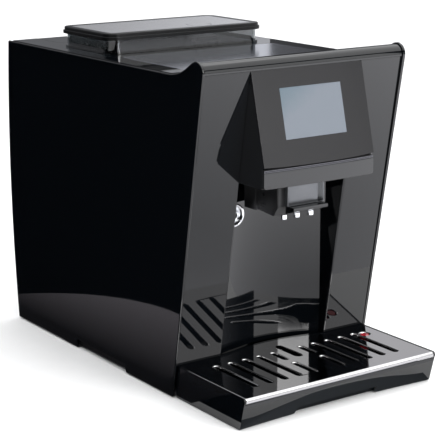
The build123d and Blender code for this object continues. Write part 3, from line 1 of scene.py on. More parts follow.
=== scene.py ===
# %% [markdown]
# # Dressing a bean-to-cup coffee machine
# The engineering model of the machine is already whole: every shell, shaft and screw lies in its
# place. This lesson gives it the looks. The shells get softened edges, the parts with fine shapes
# are modelled again by hand, and every surface gets the finish of a real material.

# %% Load the machine
import json
import math

import bpy
from mathutils import Matrix, Vector


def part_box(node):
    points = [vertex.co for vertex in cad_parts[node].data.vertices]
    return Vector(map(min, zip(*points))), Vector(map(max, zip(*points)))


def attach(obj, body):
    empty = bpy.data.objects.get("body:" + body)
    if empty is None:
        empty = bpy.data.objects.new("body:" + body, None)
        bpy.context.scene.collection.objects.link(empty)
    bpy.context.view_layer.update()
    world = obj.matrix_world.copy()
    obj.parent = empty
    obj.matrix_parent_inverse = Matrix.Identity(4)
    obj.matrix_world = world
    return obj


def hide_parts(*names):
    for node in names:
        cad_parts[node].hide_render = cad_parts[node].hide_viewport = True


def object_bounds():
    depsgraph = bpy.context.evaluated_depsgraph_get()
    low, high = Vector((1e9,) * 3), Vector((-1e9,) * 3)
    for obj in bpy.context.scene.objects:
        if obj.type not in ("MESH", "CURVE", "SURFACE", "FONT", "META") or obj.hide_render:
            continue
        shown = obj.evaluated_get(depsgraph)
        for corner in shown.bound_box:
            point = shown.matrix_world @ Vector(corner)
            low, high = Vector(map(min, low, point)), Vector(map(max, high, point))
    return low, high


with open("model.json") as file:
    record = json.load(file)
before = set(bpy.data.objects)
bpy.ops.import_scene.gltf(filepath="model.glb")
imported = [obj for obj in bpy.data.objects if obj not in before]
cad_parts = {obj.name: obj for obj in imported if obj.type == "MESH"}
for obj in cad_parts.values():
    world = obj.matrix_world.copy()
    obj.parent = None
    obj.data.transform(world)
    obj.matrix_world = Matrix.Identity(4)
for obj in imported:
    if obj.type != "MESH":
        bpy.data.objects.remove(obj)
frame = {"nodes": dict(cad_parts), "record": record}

cad_low, cad_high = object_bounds()
nodes = frame["nodes"]
record = frame["record"]
body_of = {n: body for body, names in record["behaviour"]["bodies"].items() for n in names}
slot_of = {part["node"]: part["material_slot"] for part in record["subparts"]}
MM = 0.001
print(f"{len(nodes)} nodes, {(cad_high - cad_low).z / MM:.0f} mm high")

# %% [markdown]
# The camera stands to the left of the machine and a little above it, with a long lens, as in a
# catalogue picture. A camera's place can be given by where it is and which way it looks: here an
# azimuth round the machine, an elevation and a small roll.

# %% Camera
CAMERA_PLACE = Vector((-0.86875, -1.26952, 0.51741))
CAMERA_AZIMUTH = math.radians(-34.786)
CAMERA_ELEVATION = math.radians(13.770)
CAMERA_ROLL = math.radians(-0.264)
LENS = 120.31

back = Vector((math.sin(CAMERA_AZIMUTH) * math.cos(CAMERA_ELEVATION),
               -math.cos(CAMERA_AZIMUTH) * math.cos(CAMERA_ELEVATION),
               math.sin(CAMERA_ELEVATION)))
camera = bpy.data.objects.new("camera", bpy.data.cameras.new("camera"))
bpy.context.scene.collection.objects.link(camera)
camera.data.lens = LENS
camera.data.clip_end = 20
turn = back.to_track_quat("Z", "Y") @ Matrix.Rotation(CAMERA_ROLL, 3, "Z").to_quaternion()
camera.rotation_mode = "QUATERNION"
camera.rotation_quaternion = turn
camera.location = CAMERA_PLACE
bpy.context.scene.camera = camera
bpy.context.scene.view_settings.view_transform = "Standard"
print(f"camera {CAMERA_PLACE.length:.2f} m from the origin, with a {LENS:.0f} mm lens")

# %% [markdown]
# Every finish below is built from shader nodes. Colours are written as the sRGB values that a
# colour picker shows, so one function turns them into the linear light that a shader works in.
# One more function adds a node, with its settings and what is plugged into it.

# %% Colour and node helpers
def linear(code):
    """An sRGB colour such as "#39383d" as linear red, green, blue and alpha."""
    parts = [int(code[i:i + 2], 16) / 255 for i in (1, 3, 5)]
    return [c / 12.92 if c <= 0.04045 else ((c + 0.055) / 1.055) ** 2.4 for c in parts] + [1.0]


def add_node(tree, kind, inputs=None, **settings):
    """Adds a shader node; inputs holds values or the sockets that feed them."""
    made = tree.nodes.new(kind)
    for key, value in settings.items():
        setattr(made, key, value)
    for key, value in (inputs or {}).items():
        if isinstance(value, bpy.types.NodeSocket):
            tree.links.new(value, made.inputs[key])
        else:
            made.inputs[key].default_value = value
    return made


def new_finish(name, colour, roughness, **sockets):
    """A material with its uniform values set on the shader; returns it, its tree and its shader."""
    finish = bpy.data.materials.new(name)
    finish.use_nodes = True
    shader = finish.node_tree.nodes["Principled BSDF"]
    shader.inputs["Base Color"].default_value = linear(colour)
    shader.inputs["Roughness"].default_value = roughness
    for socket, value in sockets.items():
        shader.inputs[socket.replace("_", " ")].default_value = value
    return finish, finish.node_tree, shader


def plug(tree, source, shader, socket):
    tree.links.new(source, shader.inputs[socket])


def per_mm(size):
    """A noise scale whose features are about this many millimetres across."""
    return 1 / (size * MM)


# %% [markdown]
# **Gloss black ABS, moulded in a polished tool.** The casing is what the trade calls piano black:
# a black so deep that it shows its surroundings more than itself. Two things keep it from looking
# like computer glass. The walls sink a little as they cool, in waves some 50 mm across, and wiping
# leaves faint patches that are less shiny.

# %% Piano black
WIPED_MM = 24                # the size of a patch that wiping has left


def wavy_gloss(tree, shader, wave_mm, depth_mm, smooth, dull):
    """Slow waves in the surface, and patches between two roughnesses."""
    place = add_node(tree, "ShaderNodeTexCoord")
    waves = add_node(tree, "ShaderNodeTexNoise",
                     {"Vector": place.outputs["Object"], "Scale": per_mm(wave_mm), "Detail": 1.0})
    wiped = add_node(tree, "ShaderNodeTexNoise",
                     {"Vector": place.outputs["Object"], "Scale": per_mm(WIPED_MM),
                      "Detail": 5.0, "Roughness": 0.65})
    patches = add_node(tree, "ShaderNodeMapRange",
                       {"Value": wiped.outputs["Fac"], "From Min": 0.35, "From Max": 0.75,
                        "To Min": smooth, "To Max": dull})
    bump = add_node(tree, "ShaderNodeBump",
                    {"Height": waves.outputs["Fac"], "Distance": depth_mm * MM, "Strength": 1.0})
    plug(tree, patches.outputs["Result"], shader, "Roughness")
    plug(tree, bump.outputs["Normal"], shader, "Normal")


piano_black, tree, shader = new_finish("gloss_black_abs_moulded", "#06080b", 0.04, IOR=1.52)
wavy_gloss(tree, shader, 52, 0.03, 0.02, 0.05)

# %% [markdown]
# **Satin black ABS, spark-eroded.** The parts that hands and splashes reach have a fine grain from
# the spark-eroded tool. The real grain is a tenth of a millimetre; it is drawn at half a
# millimetre, so that it still shows.
#
# The same helper, with other grains and shades, makes the finishes that are neither mirrors nor
# brushed. Acetal is grey, waxy and a little dull. The sprayed panel in the lid is smooth and
# satin. Metallic paint glows softly, because its flakes lie under a thin lacquer. Rubber is dull.
# The polypropylene lid is black with a weak shine, so its index is set below the plastic's 1.49.

# %% Grained plastics
CLOUD_MM = 18                # the size of an uneven patch of colour


def grained(tree, shader, grain_mm, depth_mm, shade_from, shade_to):
    """A fine random grain in the surface, and a slight unevenness in its colour."""
    place = add_node(tree, "ShaderNodeTexCoord")
    grain = add_node(tree, "ShaderNodeTexNoise",
                     {"Vector": place.outputs["Object"], "Scale": per_mm(grain_mm), "Detail": 2.0})
    cloud = add_node(tree, "ShaderNodeTexNoise",
                     {"Vector": place.outputs["Object"], "Scale": per_mm(CLOUD_MM), "Detail": 3.0})
    shade = add_node(tree, "ShaderNodeMix",
                     {"Factor": cloud.outputs["Fac"], "A": linear(shade_from),
                      "B": linear(shade_to)}, data_type="RGBA")
    bump = add_node(tree, "ShaderNodeBump",
                    {"Height": grain.outputs["Fac"], "Distance": depth_mm * MM, "Strength": 0.6})
    plug(tree, shade.outputs["Result"], shader, "Base Color")
    plug(tree, bump.outputs["Normal"], shader, "Normal")


satin_black, tree, shader = new_finish("satin_black_abs_eroded", "#101113", 0.42, IOR=1.52)
grained(tree, shader, 0.5, 0.03, "#0d0e10", "#151618")

grey_pom, tree, shader = new_finish("grey_acetal_moulded", "#8a8b8c", 0.38, IOR=1.48)
grained(tree, shader, 0.8, 0.03, "#7d7e80", "#939495")

lid_grey, tree, shader = new_finish("satin_grey_abs_sprayed", "#828284", 0.2, IOR=1.5)
grained(tree, shader, 0.6, 0.006, "#7d7d80", "#87878a")

silver_paint, tree, shader = new_finish("silver_metallic_paint_sprayed", "#525457", 0.24,
                                        Metallic=0.75, Coat_Weight=0.35, Coat_Roughness=0.08)
grained(tree, shader, 0.35, 0.006, "#4b4d50", "#5c5e61")

rubber, tree, shader = new_finish("nitrile_rubber_moulded", "#141414", 0.72, IOR=1.5)
grained(tree, shader, 0.7, 0.04, "#111111", "#1a1a1a")

lid_black, tree, shader = new_finish("black_pp_moulded", "#060708", 0.34, IOR=1.3)
grained(tree, shader, 0.7, 0.004, "#050607", "#08090a")

# %% [markdown]
# **Chrome plate, polished steel and machined steel.** Bright chrome is close to a perfect mirror.
# The drip plate is stainless steel polished after pressing, and long wiping from back to front
# leaves hairlines in it: a noise stretched along the machine's depth draws them. Turned and
# drawn parts inside carry coarser lines, in grey steel, yellow brass and pale cast aluminium.
#
# Two more metals are not brushed. The trim is plated with black nickel, a darker mirror than
# chrome. The plate behind the front roll is anodised aluminium, a pale and slightly blurred one.

# %% Metals
def hairlines(tree, shader, across_mm, along_mm, depth_mm, smooth, dull):
    """Lines along Y: a noise that is fine across and long from front to back."""
    place = add_node(tree, "ShaderNodeTexCoord")
    stretch = add_node(tree, "ShaderNodeMapping",
                       {"Vector": place.outputs["Object"],
                        "Scale": (1.0, across_mm / along_mm, 1.0)})
    lines = add_node(tree, "ShaderNodeTexNoise",
                     {"Vector": stretch.outputs["Vector"], "Scale": per_mm(across_mm),
                      "Detail": 4.0})
    gloss = add_node(tree, "ShaderNodeMapRange",
                     {"Value": lines.outputs["Fac"], "From Min": 0.3, "From Max": 0.7,
                      "To Min": smooth, "To Max": dull})
    bump = add_node(tree, "ShaderNodeBump",
                    {"Height": lines.outputs["Fac"], "Distance": depth_mm * MM, "Strength": 0.5})
    plug(tree, gloss.outputs["Result"], shader, "Roughness")
    plug(tree, bump.outputs["Normal"], shader, "Normal")


black_nickel, tree, shader = new_finish("black_nickel_plate_bright", "#515155", 0.1, Metallic=1.0)
wavy_gloss(tree, shader, 9, 0.002, 0.08, 0.16)

inset_metal, tree, shader = new_finish("aluminium_anodised_grey", "#c6c9d4", 0.16, Metallic=1.0)
grained(tree, shader, 0.5, 0.002, "#c2c5cf", "#cacdd8")

chrome, tree, shader = new_finish("chrome_plate_bright", "#dcdde0", 0.05, Metallic=1.0)
wavy_gloss(tree, shader, 14, 0.002, 0.03, 0.09)

polished_steel, tree, shader = new_finish("stainless_steel_polished", "#c6c5c6", 0.06, Metallic=1.0)
hairlines(tree, shader, 0.6, 40, 0.0012, 0.035, 0.1)

machined_steel, tree, shader = new_finish("carbon_steel_turned", "#a5a6a8", 0.3, Metallic=1.0)
hairlines(tree, shader, 0.5, 9, 0.01, 0.22, 0.4)

cast_aluminium, tree, shader = new_finish("aluminium_die_cast", "#b9babc", 0.45, Metallic=1.0)
hairlines(tree, shader, 1.2, 2, 0.05, 0.38, 0.55)

turned_brass, tree, shader = new_finish("brass_turned", "#c9a65a", 0.25, Metallic=1.0)
hairlines(tree, shader, 0.5, 6, 0.01, 0.2, 0.32)

# %% [markdown]
# **Clear and smoked SAN, moulded.** The water tank is clear plastic with a faint grey tint, and
# the bean hopper is the same plastic, smoked. Full transmission with plastic's index of refraction
# gives bright corners and see-through walls. The float in the tray is **red polycarbonate**. It is
# small, so a mottled red under a gloss coat is enough, and nothing is seen through it.

# %% Clear plastics
clear_san, tree, shader = new_finish("clear_san_moulded", "#e8ebec", 0.03, IOR=1.57,
                                     Transmission_Weight=1.0)
wavy_gloss(tree, shader, 30, 0.004, 0.01, 0.04)

smoked_san, tree, shader = new_finish("smoked_san_moulded", "#6f7578", 0.03, IOR=1.57,
                                      Transmission_Weight=1.0)
wavy_gloss(tree, shader, 30, 0.004, 0.01, 0.04)

red_pc, tree, shader = new_finish("red_polycarbonate_moulded", "#b3202e", 0.12, IOR=1.58,
                                  Coat_Weight=0.6, Coat_Roughness=0.03)
grained(tree, shader, 1.5, 0.02, "#8e1622", "#c72a38")

# %% [markdown]
# ** Display front and screen.** The display's front is smoked acrylic with an etched, anti-glare
# face, so it is dark grey and satin next to the glossy casing. The unlit screen behind it has a
# painted reflection in its colour: a pale blue-grey that turns warmer and lighter to the lower
# right.
# Both have an index below the real plastic's, which keeps their shine from hiding their colour.
# The circuit boards behind get the green of **solder mask**, mottled by the glass weave below.

# %% Display finishes
REFLECTION_PLACE = (0.5, 0.0, 5.4)     # moves the middle of the change of colour onto the screen
REFLECTION_RATE = (10.0, 0.0, -17.0)   # how fast the colour changes across and down, per metre


display_front, tree, shader = new_finish("smoked_acrylic_etched", "#101013", 0.19, IOR=1.42)
grained(tree, shader, 0.4, 0.004, "#0f0f12", "#141316")

screen, tree, shader = new_finish("lcd_film_painted_reflection", "#8fa0ac", 0.4, IOR=1.25)
# Painted reflection: a colour ramp that is lighter and warmer to the lower right, with a faint
# random mottle.
place = add_node(tree, "ShaderNodeTexCoord")
tilt = add_node(tree, "ShaderNodeMapping",
                {"Vector": place.outputs["Object"], "Location": REFLECTION_PLACE,
                 "Scale": REFLECTION_RATE})
split = add_node(tree, "ShaderNodeSeparateXYZ", {"Vector": tilt.outputs["Vector"]})
slope = add_node(tree, "ShaderNodeMath", {0: split.outputs["X"], 1: split.outputs["Z"]},
                 operation="ADD")
mottle = add_node(tree, "ShaderNodeTexNoise",
                  {"Vector": place.outputs["Object"], "Scale": per_mm(9), "Detail": 2.0})
waver = add_node(tree, "ShaderNodeMath", {0: mottle.outputs["Fac"], 1: 0.25, 2: slope.outputs[0]},
                 operation="MULTIPLY_ADD")
painted_reflection = add_node(tree, "ShaderNodeValToRGB", {"Fac": waver.outputs[0]})
painted_reflection.color_ramp.elements[0].color = linear("#48606a")
painted_reflection.color_ramp.elements[1].color = linear("#6f757d")
plug(tree, painted_reflection.outputs["Color"], shader, "Base Color")

solder_mask, tree, shader = new_finish("fibreglass_solder_mask", "#0f4a26", 0.3, IOR=1.5,
                                       Coat_Weight=0.4)
grained(tree, shader, 1.6, 0.02, "#0c4020", "#15552d")

finish_of = {"gloss_black": piano_black, "satin_black": satin_black, "display_glass": display_front,
             "lcd": screen, "chrome": chrome, "silver_paint": silver_paint,
             "polished_steel": polished_steel, "steel": machined_steel,
             "clear_plastic": clear_san, "grey_plastic": grey_pom, "satin_grey": lid_grey,
             "rubber": rubber, "red_plastic": red_pc, "circuit_board": solder_mask,
             "aluminium": cast_aluminium, "brass": turned_brass}
for name, part in nodes.items():
    part.data.materials.clear()
    part.data.materials.append(finish_of[slot_of[name]])
print(f"{len(finish_of)} finishes on {len(nodes)} nodes")

# %% [markdown]
# ## Softening the shells
# A moulded edge is never knife sharp: it has a radius that catches a thin line of light, and that
# line is much of what makes a shell look real. The engineering shells have sharp edges, so a copy
# of each visible one is merged, because its triangles are loose, its flat faces are made whole,
# and a bevel of the real radius is applied. The copy then stands for the shell.

# %% Selecting and softening
MERGE_GAP = 0.004 * MM
FLAT = math.radians(0.2)         # faces that meet at less than this are one flat face
SHARP = math.radians(40)         # edges that turn by more than this are rounded
SMOOTH = math.radians(32)        # faces that meet at less than this are shaded as one


def select_only(piece):
    bpy.ops.object.select_all(action="DESELECT")
    piece.select_set(True)
    bpy.context.view_layer.objects.active = piece


def edit(piece, mode="FACE"):
    """Opens a piece in edit mode with nothing selected."""
    select_only(piece)
    bpy.ops.object.mode_set(mode="EDIT")
    bpy.ops.mesh.select_mode(type=mode)
    bpy.ops.mesh.select_all(action="DESELECT")


def close():
    bpy.ops.object.mode_set(mode="OBJECT")


def pick(piece, kind, test):
    """Selects the faces, edges or corners that pass a test, from edit mode."""
    bpy.ops.object.mode_set(mode="OBJECT")
    for element in getattr(piece.data, kind):
        element.select = test(element)
    bpy.ops.object.mode_set(mode="EDIT")


def apply_modifier(piece, kind, **settings):
    select_only(piece)
    modifier = piece.modifiers.new(kind, kind)
    for key, value in settings.items():
        setattr(modifier, key, value)
    bpy.ops.object.modifier_apply(modifier=modifier.name)


def merged_copy(node, name):
    """A copy of an engineering node with its triangles joined and its flat faces made whole."""
    piece = bpy.data.objects.new(name, nodes[node].data.copy())
    bpy.context.scene.collection.objects.link(piece)
    edit(piece)
    bpy.ops.mesh.select_all(action="SELECT")
    bpy.ops.mesh.remove_doubles(threshold=MERGE_GAP)
    bpy.ops.mesh.customdata_custom_splitnormals_clear()
    bpy.ops.mesh.dissolve_limited(angle_limit=FLAT)
    close()
    return piece


def soften(piece, radius, angle=SHARP):
    """Rounds the sharp edges of a piece to a radius in millimetres."""
    apply_modifier(piece, "BEVEL", width=radius * MM, segments=3, limit_method="ANGLE",
                   angle_limit=angle, use_clamp_overlap=True)


def finish_piece(piece, slot, body, *stands_for):
    """Smooth shading, a finish, a body to ride on and the nodes that the piece stands for.

    A bevel bends the normals at the rim of the flat face beside it, and the bend would spoil the
    mirror image in that face. Normals weighted by face area keep the big faces flat.
    """
    select_only(piece)
    bpy.ops.object.shade_smooth_by_angle(angle=SMOOTH)
    apply_modifier(piece, "WEIGHTED_NORMAL", keep_sharp=True, weight=100)
    piece.data.materials.clear()
    piece.data.materials.append(finish_of[slot])
    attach(piece, body)
    if stands_for:
        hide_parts(*stands_for)


# %% [markdown]
# The radii below are in millimetres, and each fits its part: a large moulding has a fuller edge
# than a folded sheet. Three of the shells have a finish of their own. The right panel's leaning
# front edge is also taken back until it lies almost flush with the column beside it.

# %% Softened shells
SOFT_EDGES = {"left_side_panel": 1.0, "right_side_panel": 1.0, "service_door": 0.25,
              "inset_plate": 0.3, "front_fascia": 0.4, "nose_housing": 0.35,
              "display_panel": 0.3, "nose_bar": 0.5, "tank_lid": 0.4, "rear_panel": 0.3,
              "top_cover": 0.5, "hopper_lid": 0.3, "feet": 0.3, "nozzles": 0.5, "lid_inset": 0.3,
              "grind_knob": 0.6, "power_inlet": 0.6, "power_rocker": 0.4, "base_pan": 0.5,
              "bean_hopper": 0.5, "water_tank": 0.5, "grounds_container": 0.6,
              "tray_float": 0.2, "spout_guide": 0.5, "brew_frame": 0.5, "thermoblock": 0.5,
              "pump_body": 0.5, "grinder_housing": 0.6, "tank_socket": 0.4}
OWN_FINISH = {"inset_plate": inset_metal, "bean_hopper": smoked_san, "hopper_lid": lid_black}
COLUMN_FOOT, COLUMN_LEAN = -106.3 * MM, 0.1774   # the column's front face, and its lean per height
EDGE_REACH, EDGE_TOP, EDGE_TRAVEL = 0.5 * MM, 300 * MM, 1.7 * MM


def trim_front_edge(panel):
    """Takes the panel's leaning front edge back, almost flush with the column beside it."""
    for corner in panel.data.vertices:
        column_front = COLUMN_FOOT - COLUMN_LEAN * corner.co.z
        if corner.co.y < column_front - EDGE_REACH and corner.co.z < EDGE_TOP:
            corner.co.y += EDGE_TRAVEL


for node, radius in SOFT_EDGES.items():
    piece = merged_copy(node, node + "_soft")
    if node == "right_side_panel":
        trim_front_edge(piece)
    soften(piece, radius)
    finish_piece(piece, slot_of[node], body_of[node], node)
    if node in OWN_FINISH:
        piece.data.materials[0] = OWN_FINISH[node]
    print(f"{node}: {radius} mm edges, {len(piece.data.polygons)} faces")

# %% [markdown]
# ## The drip plate
# The plate is one sheet of polished steel, pressed so that the rim of every slot rolls down into
# the opening and the front edge rolls over the tray's lip. The rolled rims are what make the slots
# look pressed and not cut. The sharp upper edges inside the plate's outline are selected, and a
# wide bevel with several segments rolls them. The bevel may overshoot by a fraction of a
# millimetre, so every corner is then held inside the engineering plate's box.

# %% Drip plate with rolled slots
plate_low, plate_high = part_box("drip_plate")
ROLL = 1.25 * MM
SLOTS_HALF, SLOTS_BACK = 106 * MM, -122 * MM     # the field of slots: half its width, and its back
SLOTS_MARGIN = 12 * MM                           # from the plate's front to the field of slots
RIM_BAND = 0.05 * MM
drip_plate = merged_copy("drip_plate", "drip_plate_pressed")


def on_slot_rim(edge):
    ends = [drip_plate.data.vertices[i].co for i in edge.vertices]
    inside = all(abs(p.x) < SLOTS_HALF and plate_low.y + SLOTS_MARGIN < p.y < SLOTS_BACK
                 for p in ends)
    return edge.select and inside and all(p.z > plate_high.z - RIM_BAND for p in ends)


edit(drip_plate, "EDGE")
bpy.ops.mesh.edges_select_sharp(sharpness=math.radians(50))
pick(drip_plate, "edges", on_slot_rim)
bpy.ops.mesh.bevel(offset=ROLL, segments=4, profile=0.5, affect="EDGES")
close()
for corner in drip_plate.data.vertices:
    for axis in range(3):
        corner.co[axis] = max(plate_low[axis], min(plate_high[axis], corner.co[axis]))
finish_piece(drip_plate, "polished_steel", "plate", "drip_plate")
print(f"drip plate: {len(drip_plate.data.polygons)} faces")

# %% [markdown]
# ## The tray and its arched front
# The front of the tray leans inwards, and below a low arch it is scooped back a little more, so
# that the arch shows as a soft line between a lighter and a darker part. The face is cut into
# columns and rows, the rows are gathered on the arch, and everything under it is moved inwards in
# proportion to how far below it lies.

# %% Tray with an arched front
tray_low, tray_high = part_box("drip_tray")
LIP_UNDER = 27.5 * MM        # where the leaning face ends under the lip
ARCH_TOP, ARCH_FALL = 24.0 * MM, 21.0 * MM
NOTCH_TOP, NOTCH_WIDE, NOTCH_NARROW = 8.0 * MM, 52 * MM, 49 * MM
SCOOP = 0.22                 # inward travel per unit of height below the arch
ARCH_ROW = 14.0 * MM         # the row that is moved onto the arch
ROWS = (4 * MM, 9.5 * MM, ARCH_ROW, 17 * MM, 21 * MM, 24 * MM)
COLUMNS = 60
FACE_FRONT = -216 * MM
FOOT_SETBACK, LIP_SETBACK = 8.0 * MM, 0.8 * MM   # the leaning face's two ends, from the very front
SLACK = 0.05 * MM
tray = merged_copy("drip_tray", "drip_tray_arched")


def on_tray_front(face):
    return face.normal.y < -0.9 and face.center.y < FACE_FRONT and face.center.z < LIP_UNDER


edit(tray)
for i in range(1, COLUMNS):
    x = tray_low.x + i * (tray_high.x - tray_low.x) / COLUMNS
    pick(tray, "polygons", on_tray_front)
    bpy.ops.mesh.bisect(plane_co=(x, 0, 0), plane_no=(1, 0, 0))
for z in ROWS:
    pick(tray, "polygons", on_tray_front)
    bpy.ops.mesh.bisect(plane_co=(0, 0, z), plane_no=(0, 0, 1))
close()


def arch_height(x):
    return ARCH_TOP - ARCH_FALL * (x / tray_high.x) ** 2


def face_foot(x):
    rise = (NOTCH_WIDE - abs(x)) / (NOTCH_WIDE - NOTCH_NARROW)
    return tray_low.z + max(0.0, min(1.0, rise)) * (NOTCH_TOP - tray_low.z)


front_corners = {i for face in tray.data.polygons if on_tray_front(face) for i in face.vertices}
lean = (FOOT_SETBACK - LIP_SETBACK) / (LIP_UNDER - tray_low.z)
for i in front_corners:
    point = tray.data.vertices[i].co
    foot, arch = face_foot(point.x), arch_height(point.x)
    middle = max(ARCH_ROW, foot + 0.5 * MM)
    if point.z <= foot + SLACK or point.z >= LIP_UNDER - SLACK:
        height = point.z
    elif point.z <= middle:
        height = foot + (point.z - foot) / (middle - foot) * (arch - foot)
    else:
        height = arch + (point.z - middle) / (LIP_UNDER - middle) * (LIP_UNDER - arch)
    point.y += -lean * (height - point.z) + SCOOP * max(0.0, arch - height)
    point.z = height
soften(tray, 0.5, math.radians(50))
finish_piece(tray, "gloss_black", "tray", "drip_tray")
print(f"tray: {len(tray.data.polygons)} faces")

# %% [markdown]
# ## The beaded trim
# Between the display and the bar runs a strip of small round beads on a narrow ribbon. Each bead
# is a sphere of few faces, laid along the arc of the bar, and the ribbon behind is taken back so
# that the beads stand out of it. The beads are then joined into one row.

# %% Beaded trim
strip_low, strip_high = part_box("trim_bead")
STRIP_CROWN = 2.5 * MM       # how far the arc bulges forwards in the middle
BEAD_PITCH, BEAD_RADIUS, BEAD_SEAT = 1.5 * MM, 0.66 * MM, 0.75 * MM
RIBBON_BACK, RIBBON_SETBACK = 1.0 * MM, 0.7 * MM
half_strip = strip_high.x - 0.5 * MM
arc_radius = (half_strip ** 2 + STRIP_CROWN ** 2) / (2 * STRIP_CROWN)
middle_z = (strip_low.z + strip_high.z) / 2

ribbon = merged_copy("trim_bead", "trim_ribbon")
for vertex in ribbon.data.vertices:
    if vertex.co.y < strip_high.y - RIBBON_BACK:
        vertex.co.y += RIBBON_SETBACK
soften(ribbon, 0.2)
finish_piece(ribbon, "chrome", "machine", "trim_bead")
ribbon.data.materials[0] = black_nickel

beads = []
count = int(2 * half_strip / BEAD_PITCH)
for i in range(count):
    x = -half_strip + (i + 0.5) * 2 * half_strip / count
    y = strip_low.y + arc_radius - math.sqrt(arc_radius ** 2 - x ** 2) + BEAD_SEAT
    bpy.ops.object.select_all(action="DESELECT")
    bpy.ops.mesh.primitive_uv_sphere_add(segments=8, ring_count=6, radius=BEAD_RADIUS,
                                         location=(x, y, middle_z))
    beads.append(bpy.context.object)
bpy.ops.object.select_all(action="DESELECT")
for bead in beads:
    bead.select_set(True)
bpy.context.view_layer.objects.active = beads[0]
bpy.ops.object.join()
bpy.ops.object.transform_apply(location=True, rotation=True, scale=True)
bead_row = bpy.context.object
bead_row.name = "trim_beads"
finish_piece(bead_row, "chrome", "machine")
bead_row.data.materials[0] = black_nickel
print(f"{count} beads")

# %% [markdown]
# ## The coffee spout
# The spout's front is a silver channel: a sheet with a thin rim, whose flanks slope down to a
# flat bottom. It is modelled from a block: the front face is inset for the rim, and inset again
# while it is pushed back for the flanks. The bottom then runs out level at its lower end. The grip
# below is a block whose lower front edge is lifted, so that it slopes away underneath. The body is
# the engineering one, softened.

# %% Spout channel, grip and body
def block(name, low, high):
    """A cube stretched between two corners, with its place in its mesh."""
    bpy.ops.object.select_all(action="DESELECT")
    bpy.ops.mesh.primitive_cube_add(size=1.0, location=(Vector(low) + Vector(high)) / 2,
                                    scale=Vector(high) - Vector(low))
    bpy.ops.object.transform_apply(location=True, rotation=True, scale=True)
    made = bpy.context.object
    made.name = name
    return made


RIM, FLANK, CHANNEL = 1.1 * MM, 3.6 * MM, 4.4 * MM
NEAR = 1 * MM                # how far from a face its own corners may lie
INNER = 3 * MM               # the channel's bottom starts this far in from the outside
channel_low, channel_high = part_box("spout_plate")
channel = block("spout_channel", channel_low, channel_high)
edit(channel)
pick(channel, "polygons", lambda face: face.normal.y < -0.9)
bpy.ops.mesh.inset(thickness=RIM)
bpy.ops.mesh.inset(thickness=FLANK, depth=-CHANNEL)
close()
channel_middle = (channel_low + channel_high) / 2
for vertex in channel.data.vertices:
    behind_rim = vertex.co.y > channel_low.y + NEAR
    on_bottom = abs(vertex.co.x) < channel_high.x - INNER
    if behind_rim and on_bottom and vertex.co.z < channel_middle.z:
        vertex.co.z = channel_low.z
soften(channel, 0.45)
finish_piece(channel, "silver_paint", "spout", "spout_plate")

grip_low, grip_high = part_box("spout_grip")
LIP_EDGE = 3.6 * MM
grip = block("spout_grip_wedge", grip_low, grip_high)
for vertex in grip.data.vertices:
    if vertex.co.y < grip_low.y + NEAR and vertex.co.z < grip_high.z - NEAR:
        vertex.co.z = grip_high.z - LIP_EDGE
soften(grip, 0.5)
finish_piece(grip, "gloss_black", "spout", "spout_grip")

spout = merged_copy("spout_body", "spout_body_soft")
soften(spout, 0.35)
finish_piece(spout, "satin_black", "spout", "spout_body")
print(f"spout: {sum(len(piece.data.polygons) for piece in (channel, grip, spout))} faces")

# %% [markdown]
# ## The steam and water port
# The round chrome port in the niche is a turned flange with a dished face and a domed nozzle in
# its middle. It starts as a disc seen from the front; each inset with a depth is one step of the
# lathe, with its width and its travel in millimetres.

# %% Chrome port
PORT_LENGTH, PORT_SEAT = 7.0 * MM, 3.9 * MM
LATHE_STEPS = ((1.6, 0.4), (1.2, -0.8), (1.4, -2.2), (0.8, -0.6), (0.6, 1.8), (1.2, 1.0),
               (1.4, 0.3), (0.4, -2.5))
port_low, port_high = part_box("chrome_port")
port_middle = (port_low + port_high) / 2
bpy.ops.object.select_all(action="DESELECT")
bpy.ops.mesh.primitive_cylinder_add(
    vertices=64, radius=(port_high.x - port_low.x) / 2, depth=PORT_LENGTH,
    location=(port_middle.x, port_low.y + PORT_SEAT, port_middle.z),
    rotation=(math.radians(90), 0, 0))
bpy.ops.object.transform_apply(location=True, rotation=True, scale=True)
port = bpy.context.object
port.name = "chrome_port_turned"
edit(port)
pick(port, "polygons", lambda face: face.normal.y < -0.9)
for thickness, depth in LATHE_STEPS:
    bpy.ops.mesh.inset(thickness=thickness * MM, depth=depth * MM)
close()
soften(port, 0.25)
finish_piece(port, "chrome", "machine", "chrome_port")
print(f"chrome port: {len(port.data.polygons)} faces")

# %% [markdown]
# ## Floor, light and surroundings
# Piano black is lit by what it mirrors, so the studio is built for its reflections. The machine
# stands on a sheet of pale, matt paper, whose slight unevenness keeps it from looking drawn.

# %% Floor
bpy.ops.object.select_all(action="DESELECT")
bpy.ops.mesh.primitive_plane_add(size=8.0, location=(0, 0, 0))
floor = bpy.context.object
floor.name = "floor"
paper, tree, shader = new_finish("seamless_paper_pale", "#f4f4f4", 0.9)
grained(tree, shader, 4, 0.02, "#f2f2f2", "#f6f6f6")
floor.data.materials.append(paper)
print("paper laid, 8 m wide")
